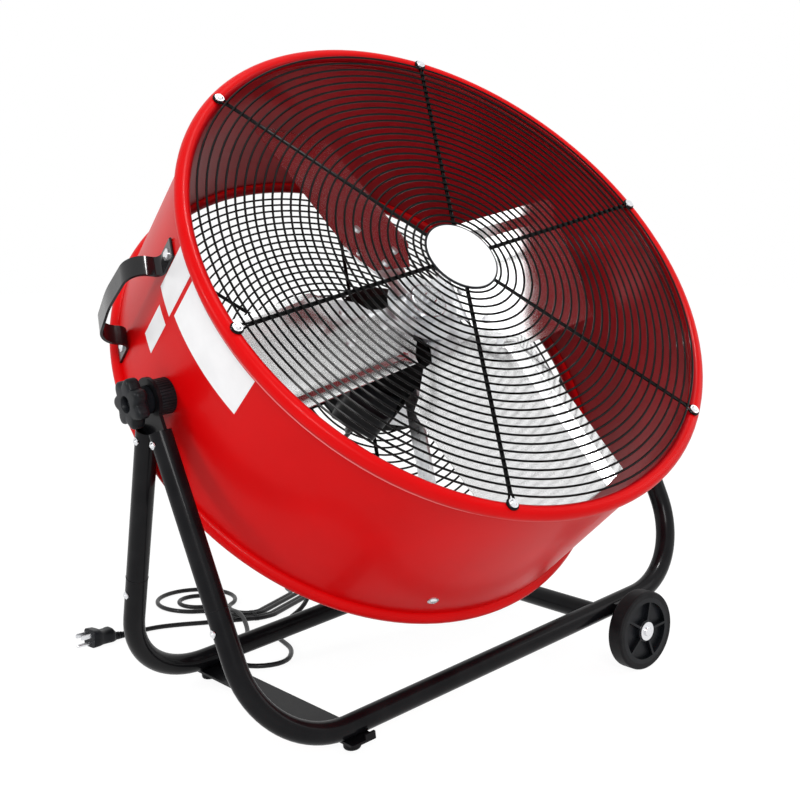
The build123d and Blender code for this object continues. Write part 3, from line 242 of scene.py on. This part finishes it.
def painted_shade_and_ridge_highlight(made, low, high):
    """Painted shade where the surface faces the fan axis, and a painted highlight line on the
    ridge.
    """
    tree = made.node_tree
    shader = tree.nodes["Principled BSDF"]
    place = tree.nodes.new("ShaderNodeTexCoord")
    from_pivot = vector_step(tree, "SUBTRACT", place.outputs["Object"], PIVOT)
    along_axis = vector_step(tree, "PROJECT", from_pivot, FAN_AXIS)
    spoke = vector_step(tree, "SUBTRACT", from_pivot, along_axis)
    facing = vector_step(tree, "DOT_PRODUCT", spoke, place.outputs["Normal"])
    depth = vector_step(tree, "DOT_PRODUCT", from_pivot, FAN_AXIS)

    # Painted highlight: a pale line on the ridge behind the front bead, mixed over the paint.
    ridge = number_step(tree, "COMPARE", depth, RIDGE_DEPTH, RIDGE_HALF)
    ridge_highlight = number_step(tree, "MULTIPLY", ridge, RIDGE_HIGHLIGHT_SHARE)
    edge = tree.nodes.new("ShaderNodeMixRGB")
    tree.links.new(ridge_highlight, edge.inputs["Fac"])
    tree.links.new(shader.inputs["Base Color"].links[0].from_socket, edge.inputs["Color1"])
    edge.inputs["Color2"].default_value = RIDGE_HIGHLIGHT_COLOUR

    # Painted shade: the paint goes deep maroon where the surface faces the fan axis, standing in
    # for the shade inside the drum.
    inside = tree.nodes.new("ShaderNodeMapRange")
    inside.inputs["From Min"].default_value = FACING_FROM
    inside.inputs["From Max"].default_value = FACING_TO
    tree.links.new(facing, inside.inputs["Value"])
    inside_shade = ramp(tree, noise(tree, 9, 4.0), 0.35, 0.65, (*low, 1), (*high, 1))
    mixed = tree.nodes.new("ShaderNodeMixRGB")
    tree.links.new(inside.outputs["Result"], mixed.inputs["Fac"])
    tree.links.new(edge.outputs["Color"], mixed.inputs["Color1"])
    tree.links.new(inside_shade.outputs["Color"], mixed.inputs["Color2"])
    tree.links.new(mixed.outputs["Color"], shader.inputs["Base Color"])


# The two painted shade colours for the inside of the drum.
painted_shade_and_ridge_highlight(red_paint, (0.26, 0.001, 0.004), (0.34, 0.001, 0.006))

slot_looks = {
    "frame_black": black_paint,
    "foot_rubber": rubber,
    "zinc_steel": zinc,
    "wheel_plastic": black_plastic,
    "tyre_rubber": rubber,
    "drum_red": red_paint,
    "guard_black": black_wire,
    "badge_white": white_vinyl,
    "handle_black": gloss_black,
    "knob_black": black_plastic,
    "motor_black": black_motor,
    "motor_bells": black_motor,
    "blade_aluminium": aluminium,
    "spider_steel": galvanised,
    "cord_black": cord_skin,
    "tie_black": black_plastic,
}
for part in frame["record"]["subparts"]:
    surface = nodes[part["node"]].data.materials
    surface.clear()
    surface.append(slot_looks[part["material_slot"]])
for name in ("motor_strut_low", "motor_strut_right", "motor_strut_left"):
    nodes[name].data.materials.clear()
    nodes[name].data.materials.append(galvanised)


# ---------------------------------------------------------------- mesh makers
class Maker:
    """Gathers rings, tubes and grids of points into one mesh."""

    def __init__(self):
        self.points = []
        self.faces = []

    def loops(self, rings, closed=False, caps=True):
        """Skins a row of point loops that all have the same count."""
        count = len(rings[0])
        first = len(self.points)
        for ring in rings:
            self.points += [tuple(p) for p in ring]
        pairs = len(rings) if closed else len(rings) - 1
        for i in range(pairs):
            a = first + i * count
            b = first + ((i + 1) % len(rings)) * count
            for k in range(count):
                n = (k + 1) % count
                self.faces.append((a + k, a + n, b + n, b + k))
        if caps and not closed:
            last = first + (len(rings) - 1) * count
            self.faces.append(tuple(first + k for k in reversed(range(count))))
            self.faces.append(tuple(last + k for k in range(count)))

    def tube(self, path, radius, sides=8, closed=False):
        """A round tube along points, with its section carried along without twist."""
        path = [Vector(p) for p in path]
        count = len(path)
        ways = []
        for i in range(count):
            before = path[i - 1] if i or closed else path[0]
            after = path[(i + 1) % count] if i < count - 1 or closed else path[-1]
            ways.append((after - before).normalized())
        side = ways[0].orthogonal().normalized()
        rings = []
        for i in range(count):
            side = (side - ways[i] * side.dot(ways[i])).normalized()
            other = ways[i].cross(side)
            width = radius[i] if isinstance(radius, (list, tuple)) else radius
            rings.append(
                [
                    path[i]
                    + side * (width * math.cos(2 * math.pi * k / sides))
                    + other * (width * math.sin(2 * math.pi * k / sides))
                    for k in range(sides)
                ]
            )
        self.loops(rings, closed=closed)

    def piece(self, name, body, look, smooth=True):
        """Makes the object, sets its look and lets it ride on a body."""
        mesh = bpy.data.meshes.new(name)
        mesh.from_pydata(self.points, [], self.faces)
        mesh.validate()
        mesh.update()
        made = bpy.data.objects.new(name, mesh)
        bpy.context.scene.collection.objects.link(made)
        mesh.materials.append(look)
        if smooth:
            mesh.polygons.foreach_set("use_smooth", [True] * len(mesh.polygons))
            mesh.set_sharp_from_angle(angle=math.radians(40))
        if body:
            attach(made, body)
        return made


# ----------------------------------------------------------------------- cord
CORD_D = 6.5
CORD_Z = CORD_D / 2 + 0.5 + 0.05
PITCH = 7.2
HANK_X, HANK_Y, HANK_BEND = -39.0, 352.0, 36.0
HANK_LEFT, HANK_RIGHT, HANK_START = 92.0, 26.0, -23.0
TIE_AT = -108.0
STEP = 26.0  # most that one control point of the hank turns, in degrees
HANK_LEAD = 22.0  # straight before the hank's first bend
HANK_OUT = 7.0  # straight after its last bend
PLUG_HEADING = 186
PLUG_AT = (-233, 358)
GLAND_R, GLAND_THETA, GLAND_REAR = 24, -90, -147  # place and end of the gland, in the drum


def heading_vector(degrees):
    """A level direction, in degrees from x."""
    return Vector((math.cos(math.radians(degrees)), math.sin(math.radians(degrees)), 0))


def lobe(spread, radius, flare, reach):
    """Moves round one end of the hank: out, flare, round in two arcs, flare, back."""
    open_by = math.degrees(math.acos((spread + flare) / (radius + flare)))
    run = reach - (radius + flare) * math.sin(math.radians(open_by))
    half = 90 + open_by
    return [(run,), (flare, -open_by), (radius, half), (radius, half), (flare, -open_by), (run,)]


across = 180 - HANK_LEFT + HANK_RIGHT
moves = [(HANK_LEAD,), (HANK_BEND + 2 * PITCH, HANK_RIGHT - HANK_START)]
moves += lobe(2 * PITCH, 46, 36, 150) + [(HANK_BEND - 2 * PITCH, -across)]
moves += lobe(1.5 * PITCH, 58, 36, 86) + [(HANK_BEND + PITCH, across)]
moves += lobe(PITCH, 26, 26, 140) + [(HANK_BEND - PITCH, -across)]
moves += lobe(0.5 * PITCH, 30, 26, 78)
moves[-1] = (HANK_OUT,)

join = Vector((HANK_X, HANK_Y, CORD_Z)) + heading_vector(HANK_START - 90) * (HANK_BEND + 2 * PITCH)
here = join - heading_vector(HANK_START) * HANK_LEAD
hank_start = here.copy()
heading = HANK_START
hank_points = []
for move in moves:
    if len(move) == 1:
        hank_points.append(here.copy())
        here = here + heading_vector(heading) * move[0]
        hank_points.append(here.copy())
        continue
    radius, swing = move
    steps = math.ceil(abs(swing) / STEP)
    part = swing / steps
    reach = radius * math.tan(math.radians(abs(part) / 2))
    for _ in range(steps):
        hank_points.append(here + heading_vector(heading) * reach)
        heading += part
        here = hank_points[-1] + heading_vector(heading) * reach
hank_end = here

plug_way = heading_vector(PLUG_HEADING)
plug_tip = Vector((*PLUG_AT, CORD_Z))
lead_points = [
    plug_tip,
    plug_tip - plug_way * 36,
    Vector((-160, 351, CORD_Z)),
    hank_start - heading_vector(HANK_START) * 44,
]
gland_end = (in_drum(GLAND_R, GLAND_THETA, GLAND_REAR) / MM) - SETTLE
tail_way = heading_vector(heading)
tail_points = [
    hank_end + tail_way * 12,
    hank_end + tail_way * 30.5 + Vector((0, 0, 5.5)),
    Vector((-75.5, 326, 13.2)),
    Vector((-80, 304, 12.8)),
    Vector((-91, 276, 8)),
    Vector((-107, 248, CORD_Z)),
    Vector((-148, 214, CORD_Z)),
    Vector((-188, 183, CORD_Z)),
    Vector((-179, 134, CORD_Z)),
    Vector((-133, 119, CORD_Z)),
    Vector((-96, 156, CORD_Z)),
    Vector((-85, 199, CORD_Z)),
    Vector((-77, 239, CORD_Z)),
    Vector((-36, 262, CORD_Z)),
    Vector((2, 256, 26)),
    Vector((4, 250, 70)),
    Vector((-2, 240, 128)),
    Vector((-10, 222, 190)),
    Vector((-20, 194, 248)),
    gland_end - FAN_AXIS * 42,
    gland_end,
]
route = [on_floor(*p) for p in lead_points + hank_points + tail_points]
line = bpy.data.curves.new("cord_line", "CURVE")
line.dimensions = "3D"
spline = line.splines.new("NURBS")
spline.points.add(len(route) - 1)
for point, place in zip(spline.points, route):
    point.co = (*place, 1)
spline.order_u = 3
spline.use_endpoint_u = True
spline.resolution_u = 5
holder = bpy.data.objects.new("cord_line", line)
bpy.context.scene.collection.objects.link(holder)
bpy.context.view_layer.update()
walked = bpy.data.meshes.new_from_object(holder)
path = [v.co.copy() for v in walked.vertices]
bpy.data.objects.remove(holder)
path = [p for i, p in enumerate(path) if i == 0 or (p - path[i - 1]).length > 1e-6]

skin = Maker()
skin.tube(path, CORD_D / 2 * MM, sides=12)
cord = skin.piece("mains_cord", None, cord_skin)
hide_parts("cord_hank", "cord_lead", "cord_tail")
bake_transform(cord)


def section(middle, wide, high, across_way, up_way, power=4.0, count=32):
    """A rounded-rectangle loop of points."""
    ring = []
    for k in range(count):
        angle = 2 * math.pi * (k + 0.5) / count
        c, s = math.cos(angle), math.sin(angle)
        x = math.copysign(abs(c) ** (2 / power), c) * wide / 2
        y = math.copysign(abs(s) ** (2 / power), s) * high / 2
        ring.append(middle + (across_way * x + up_way * y) * MM)
    return ring


plug = Maker()
plug_side = Vector((-plug_way.y, plug_way.x, 0))
zed = Vector((0, 0, 1))
# distance along the plug, width, height, roundness of each section
shape = [(0, 7.3, 7.3, 2)]
for i in range(5):
    size = 8 + i * 0.9
    shape += [(2 + i * 4.4, size, size, 2), (4.2 + i * 4.4, size, size, 2)]
    groove = size - 1.8
    shape += [(4.4 + i * 4.4, groove, groove, 2), (6.2 + i * 4.4, groove, groove, 2)]
shape += [(24, 13, 12.5, 2.2), (25, 18, 16, 3), (29, 22.5, 20, 3.4)]
shape += [(33, 22, 20, 3.6), (36, 20.6, 19.4, 3.6)]
shape += [(44, 20.6, 19.4, 3.6), (48, 23.6, 22, 4), (52, 25.6, 23.6, 5)]
shape += [(61, 26, 24, 6), (62, 25, 23, 6)]
rings = []
for along, wide, high, power in shape:
    lift = max(high / 2 + 0.15, CORD_Z)
    middle = on_floor(*(Vector((plug_tip.x, plug_tip.y, 0)) + plug_way * along)) + zed * lift * MM
    rings.append(section(middle, wide, high, plug_side, zed, power))
plug.loops(rings)
plug_body = plug.piece("plug_body", "stand", black_plastic)
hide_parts("cord_plug")
PIN_GAP = 12.7  # between the flat pins
FLAT_PIN_Z = 17.05  # middle of the flat pins above the floor
EARTH_PIN_Z = 5.15
pins = Maker()
for aside in (-PIN_GAP / 2, PIN_GAP / 2):
    rings = []
    for along, wide, high in ((61, 1.6, 6.3), (76.5, 1.6, 6.3), (79, 0.9, 4.8)):
        middle = on_floor(*(plug_tip + plug_way * along + plug_side * aside))
        middle.z = FLAT_PIN_Z * MM
        rings.append(section(middle, wide, high, plug_side, zed, 8, 16))
    pins.loops(rings)
rings = []
for along, size in ((61, 4.8), (77, 4.8), (80, 4.2), (81.4, 3.0), (81.9, 1.4)):
    middle = on_floor(*(plug_tip + plug_way * along))
    middle.z = EARTH_PIN_Z * MM
    rings.append(section(middle, size, size, plug_side, zed, 2, 16))
pins.loops(rings)
plug_pins = pins.piece("plug_pins", "stand", zinc)

tie = Maker()
tie_middle = Vector((HANK_X, HANK_Y, CORD_Z)) + heading_vector(TIE_AT) * HANK_BEND
along_tie = heading_vector(TIE_AT + 90)
out_tie = heading_vector(TIE_AT)
half_wide = 2 * PITCH + 0.2
for shift in (-1.9, 0.0, 1.9):
    band = []
    for sign in (1, -1):
        for k in range(13):
            angle = math.radians(-90 + 15 * k)
            flat = sign * (half_wide + math.cos(angle) * (CORD_D / 2 + 0.25))
            rise = sign * math.sin(angle) * (CORD_D / 2 + 0.25)
            band.append(on_floor(*(tie_middle + out_tie * flat + along_tie * shift + zed * rise)))
    tie.tube(band, 0.28 * MM, sides=6, closed=True)
for k, way in enumerate((-1, 1)):
    tail = []
    for i in range(9):
        bend = i / 8
        spot = tie_middle + out_tie * (3 + way * 6 * bend) + along_tie * (2 + 9 * bend)
        tail.append(on_floor(*(spot + zed * (CORD_D / 2 + 0.7 + 2.4 * math.sin(bend * 2.2)))))
    tie.tube(tail, 0.45 * MM, sides=6)
cord_tie = tie.piece("wire_tie", "stand", black_plastic)
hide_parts("cord_tie")

SWITCH_REAR = -113  # rear face of the switch box
RELIEF_STEP = 4.86  # from one rib of the strain relief to the next
relief = Maker()
rings = []
for i in range(7):
    size = 9.0 - i * 0.62
    start = SWITCH_REAR - i * RELIEF_STEP
    for depth, r in ((0, size), (2.9, size), (3.1, size - 1.5), (4.6, size - 1.5)):
        middle = in_drum(GLAND_R, GLAND_THETA, max(start - depth, GLAND_REAR))
        ring = []
        for k in range(30):
            angle = math.radians(12 * k)
            ring.append(middle + (TILT_X * math.cos(angle) + UP * math.sin(angle)) * r * MM)
        rings.append(ring)
relief.loops([rings[0]] + [b for a, b in zip(rings, rings[1:]) if (b[0] - a[0]).length > 1e-5])
gland = relief.piece("strain_relief", "drum", black_plastic)
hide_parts("cord_gland")

# --------------------------------------------------------------------- guards
WIRE = 2.1  # as in the CAD, for the wires' places
DRAWN_R = 1.28  # drawn thicker, so wires sink into each other where they cross
SPOKE_HALF = 1.3  # from the middle of a spoke to its two wires
EYE_AT, EYE_R, EYE_NECK = 324.0, 6.2, 14
RINGS = [51.5] + [61.0 + 10.56 * i for i in range(25)]


def guard(name, body, face, facing, first_spoke, centre, seg=160):
    """Round wires: rings outside, and behind them a double wire with an eye for each spoke."""
    wires = Maker()
    spoke_level = face + facing * WIRE / 2
    ring_level = face + facing * WIRE * 1.5
    rings = RINGS if centre else RINGS[2:]
    for radius in rings:
        ring = [in_drum(radius, 360 * k / seg, ring_level) for k in range(seg)]
        wires.tube(ring, DRAWN_R * MM, sides=8, closed=True)
    for i in range(6):
        theta = first_spoke + 60 * i
        outward = TILT_X * math.cos(math.radians(theta)) + UP * math.sin(math.radians(theta))
        aside = FAN_AXIS.cross(outward)
        base = PIVOT + FAN_AXIS * spoke_level * MM
        inner = 8 if centre else rings[0]
        loop = []
        for along in (inner, 120, 220, EYE_AT - EYE_NECK):
            loop.append(base + (outward * along + aside * SPOKE_HALF) * MM)
        for k in range(13):
            angle = math.radians(150 - 25 * k)
            turned = outward * (EYE_AT + EYE_R * math.cos(angle)) + aside * EYE_R * math.sin(angle)
            loop.append(base + turned * MM)
        for along in (EYE_AT - EYE_NECK, 220, 120, inner):
            loop.append(base + (outward * along - aside * SPOKE_HALF) * MM)
        wires.tube(loop, DRAWN_R * MM, sides=8)
    made = wires.piece(name, body, black_wire)
    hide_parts(name.replace("_wires", ""))


guard("front_guard_wires", "drum", 162.1, 1, 5.7, True)
guard("rear_guard_wires", "drum", -96.5, -1, 7.0, False)

# --------------------------------------------------------------------- blades
BLADE_AT, BLADE_D = 11.3, 67  # direction of the first blade, depth of its root
BLADE_SLOPE, BLADE_T = 0.38, 1.6
BLADE_ROOT, BLADE_SHOULDER, TIP_R = 62, 96, 300.0
SLOPE_LEN = math.hypot(1, BLADE_SLOPE)


def edge_line(x, root, shoulder, tip, lip):
    """Half width of a blade at a distance out: root to shoulder to tip, with its lip."""
    if x < BLADE_SHOULDER:
        wide = root + (shoulder - root) * (x - BLADE_ROOT) / (BLADE_SHOULDER - BLADE_ROOT)
    else:
        wide = shoulder + (tip - shoulder) * (x - BLADE_SHOULDER) / (TIP_R - BLADE_SHOULDER)
    return wide * SLOPE_LEN + lip * min(1, max(0, (x - 88) / 12))


def blade_mesh(index):
    """Bright sheet with a stepped forward edge and a rear edge bent flatter."""
    theta = math.radians(BLADE_AT + 90 * index)
    out = TILT_X * math.cos(theta) + UP * math.sin(theta)
    round_way = FAN_AXIS.cross(out)
    normal = (FAN_AXIS - round_way * BLADE_SLOPE).normalized()
    along_y = normal.cross(out)
    base = PIVOT + FAN_AXIS * BLADE_D * MM
    # share of the way from rear to forward edge, millimetres past it, rise
    rows = [(0.0, 0, 2.2), (0.0, 6.4, 0.2), (0.0, 8, 0.0)]
    rows += [(share, 0, 0.0) for share in (0.2, 0.35, 0.5, 0.65, 0.8)]
    rows += [(1.0, -26, 0.0), (1.0, -25, 0.2), (1.0, -13.4, 6.6), (1.0, -12, 7.0), (1.0, 0, 7.2)]
    sheet = Maker()
    columns = []
    for k in range(27):
        share_out = k / 26
        top = []
        for share, aside, rise in rows:
            x = BLADE_ROOT + (TIP_R - BLADE_ROOT) * share_out
            for _ in range(3):
                low = -edge_line(x, 48, 84.2, 98, 6.4)
                high = edge_line(x, 40, 64.4, 47, 6.4)
                y = low + (high - low) * share + aside
                far = math.sqrt(TIP_R**2 - (y / SLOPE_LEN) ** 2)
                x = BLADE_ROOT + (far - BLADE_ROOT) * share_out
            ramp_up = min(1, max(0, (x - 86) / 16))
            top.append((x, y, rise * ramp_up))
        upper = [base + (out * x + along_y * y + normal * (z + BLADE_T)) * MM for x, y, z in top]
        lower = [base + (out * x + along_y * y + normal * z) * MM for x, y, z in reversed(top)]
        columns.append(upper + lower)
    sheet.loops(columns)
    made = sheet.piece(f"bright_blade_{index + 1}", "fan", aluminium)
    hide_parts(f"blade_{index + 1}")


for index in range(4):
    blade_mesh(index)

# --------------------------------------------------------------------- labels
SKIN_R = 327
LABEL_IN, LABEL_OUT = SKIN_R + 0.05, SKIN_R + 0.05 + 0.2


def label(name, low, high, first, last):
    """A thin blank sticker bent round the skin, closed on all sides."""
    steps = max(3, int((last - first) / 1.5))
    rings = []
    for k in range(steps + 1):
        theta = first + (last - first) * k / steps
        rings.append(
            [
                in_drum(LABEL_IN, theta, low),
                in_drum(LABEL_IN, theta, high),
                in_drum(LABEL_OUT, theta, high),
                in_drum(LABEL_OUT, theta, low),
            ]
        )
    sticker = Maker()
    sticker.loops(rings)
    sticker.piece(name, "drum", white_vinyl)


label("label_long", 79, 138, 171.7, 194.3)
label("label_upper", 68, 138, 163.4, 170.5)
label("label_small", 3, 55, 166, 170.7)

# ---------------------------------------------------------------- badge edge
rim = Maker()
RIM_R, RIM_DEPTH, RIM_WIRE = 45.6, 165.4, 1.5
edge = [in_drum(RIM_R, 3 * k, RIM_DEPTH) for k in range(120)]
rim.tube(edge, RIM_WIRE * MM, sides=8, closed=True)
rim.piece("badge_rim", "drum", black_plastic)

# --------------------------------------------------------------------- pivots
KNOB_LOBES = 7
KNOB_VALLEY_R, KNOB_LOBE = 21.2, 6.8
KNOB_FROM = 351.5  # inner face of the knobs, out from the middle
SPACER_TO = 346.8  # outer face of the spacers
SPACER_BASE_R = 327.1  # their foot follows the skin


def lobed(angle):
    """Radius of the knob's outline."""
    return KNOB_VALLEY_R + KNOB_LOBE * (0.5 + 0.5 * math.cos(KNOB_LOBES * angle)) ** 0.75


for end, hand in ((-1, "left"), (1, "right")):
    grip = Maker()
    rings = []
    # distance out, radius, share of the lobed outline
    outline = [(0, 5.1, 0), (20, 5.1, 0), (20, 8.4, 0), (26.2, 9, 0), (26.8, 9.6, 0)]
    outline += [(26.9, 0, 0.76)]
    outline += [(26.4, 0, 0.88), (25.4, 0, 0.95), (23.8, 0, 0.99), (21.6, 0, 1), (16.5, 0, 1)]
    outline += [(14.2, 0, 0.985), (12.4, 0, 0.94), (11.3, 0, 0.86), (11, 0, 0.76)]
    outline += [(10.2, 15.4, 0), (9.4, 15, 0), (1.2, 15.6, 0), (0.1, 15.2, 0), (0, 14.6, 0)]
    for out_by, plain_r, share in outline:
        ring = []
        for k in range(112):
            angle = 2 * math.pi * k / 112
            r = lobed(angle) * share if share else plain_r
            side = UP * math.cos(angle) + FAN_AXIS * math.sin(angle)
            ring.append(PIVOT + (TILT_X * end * (KNOB_FROM + out_by) + side * r) * MM)
        rings.append(ring)
    grip.loops(rings, closed=True)
    knob = grip.piece(f"star_knob_{hand}", f"knob_{hand}", black_plastic)
    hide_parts(f"knob_{hand}")
    ribbed = Maker()
    rings = []
    # share of the way out, radius, height of the ribs
    outline = [(0, 5.1, 0), (0, 19.2, 0), (0.04, 19.4, 0.5), (0.86, 19.4, 0.5)]
    outline += [(0.95, 19, 0.3), (1, 18, 0), (1, 5.1, 0)]
    for share, r, rib in outline:
        ring = []
        for k in range(216):
            angle = 2 * math.pi * k / 216
            wide = r + rib * (1 if k % 6 < 4 else -1)
            start = math.sqrt(SPACER_BASE_R**2 - (wide * math.cos(angle)) ** 2)
            side = UP * math.cos(angle) + FAN_AXIS * math.sin(angle)
            reach_out = start + (SPACER_TO - start) * share
            ring.append(PIVOT + (TILT_X * end * reach_out + side * wide) * MM)
        rings.append(ring)
    ribbed.loops(rings, closed=True)
    distance = ribbed.piece(f"ribbed_spacer_{hand}", "drum", black_plastic)
    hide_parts(f"pivot_spacer_{hand}")

# ----------------------------------------------------------------- tube seams
LEG_X, RUN_Y, JOINT_S = 349.2, 145, 166  # as in the CAD
SEAM_R = 12.75
seams = Maker()
level = Vector((1, 0, 0))
for side in (-1, 1):
    up_leg = Vector((0, -side * RUN_Y, PIVOT_Z)).normalized()
    for end in (-1, 1):
        foot = Vector((end * LEG_X, side * RUN_Y, 0)) + up_leg * JOINT_S
        ring = []
        for k in range(48):
            angle = 2 * math.pi * k / 48
            outward = level * math.cos(angle) + up_leg.cross(level) * math.sin(angle)
            ring.append(on_stand(*(foot + outward * SEAM_R)))
        seams.tube(ring, 0.4 * MM, sides=6, closed=True)
seams.piece("leg_seams", "stand", rubber)

# ------------------------------------------------------------ light and floor
def seen_share(tree, *more):
    """One where the camera or a reflection looks, or a ray of the further kinds."""
    paths = tree.nodes.new("ShaderNodeLightPath")
    share = paths.outputs["Is Camera Ray"]
    for kind in ("Is Glossy Ray", *more):
        both = tree.nodes.new("ShaderNodeMath")
        both.operation = "MAXIMUM"
        tree.links.new(share, both.inputs[0])
        tree.links.new(paths.outputs[kind], both.inputs[1])
        share = both.outputs[0]
    return share


def shader_node(tree, kind, colour, strength=None):
    """A plain shader of one colour."""
    made = tree.nodes.new(kind)
    made.inputs["Color"].default_value = (*colour, 1)
    if strength is not None:
        made.inputs["Strength"].default_value = strength
    return made.outputs[0]


def blend_shaders(tree, share, plain, seen, output):
    """Mixes two shaders and ends the tree in them."""
    mix = tree.nodes.new("ShaderNodeMixShader")
    end = tree.nodes.new(output)
    tree.links.new(share, mix.inputs["Fac"])
    tree.links.new(plain, mix.inputs[1])
    tree.links.new(seen, mix.inputs[2])
    tree.links.new(mix.outputs[0], end.inputs["Surface"])


bpy.context.scene.view_settings.view_transform = "Standard"
world = bpy.data.worlds.new("studio")
bpy.context.scene.world = world
world.use_nodes = True
tree = world.node_tree
tree.nodes.clear()
blend_shaders(
    tree,
    seen_share(tree, "Is Transmission Ray"),
    shader_node(tree, "ShaderNodeBackground", (1, 1, 1), 0.5),
    shader_node(tree, "ShaderNodeBackground", (1, 1, 1), 1.0),
    "ShaderNodeOutputWorld",
)

FLOOR_HALF = 9
floor_mesh = bpy.data.meshes.new("floor")
corners = [(-1, -1), (1, -1), (1, 1), (-1, 1)]
corners = [(x * FLOOR_HALF, y * FLOOR_HALF, 0) for x, y in corners]
floor_mesh.from_pydata(corners, [], [(0, 1, 2, 3)])
floor = bpy.data.objects.new("floor", floor_mesh)
floor.location.z = -0.0004
bpy.context.scene.collection.objects.link(floor)
pale = bpy.data.materials.new("pale_floor")
pale.use_nodes = True
tree = pale.node_tree
tree.nodes.clear()
lit = tree.nodes.new("ShaderNodeAddShader")
tree.links.new(shader_node(tree, "ShaderNodeBsdfDiffuse", (0.16, 0.16, 0.16)), lit.inputs[0])
tree.links.new(shader_node(tree, "ShaderNodeEmission", (1, 1, 1), 0.93), lit.inputs[1])
blend_shaders(
    tree,
    seen_share(tree),
    shader_node(tree, "ShaderNodeBsdfDiffuse", (0.8, 0.8, 0.8)),
    lit.outputs[0],
    "ShaderNodeOutputMaterial",
)
floor_mesh.materials.append(pale)


LAMP_TARGET = Vector((0, 0, 0.4))


def lamp(name, place, size, power, target=LAMP_TARGET):
    """A soft square lamp aimed at the drum."""
    data = bpy.data.lights.new(name, "AREA")
    data.shape = "SQUARE"
    data.size = size
    data.energy = power
    made = bpy.data.objects.new(name, data)
    bpy.context.scene.collection.objects.link(made)
    made.location = place
    made.rotation_mode = "QUATERNION"
    made.rotation_quaternion = (target - Vector(place)).to_track_quat("-Z", "Y")


lamp("key", (-1.7, -2.6, 1.9), 1.0, 44)
lamp("side", (-2.7, 0.5, 1.4), 0.5, 20)
lamp("top", (0.4, -0.6, 3.0), 0.35, 26)
lamp("fill", (2.4, -1.4, 1.6), 1.4, 10)
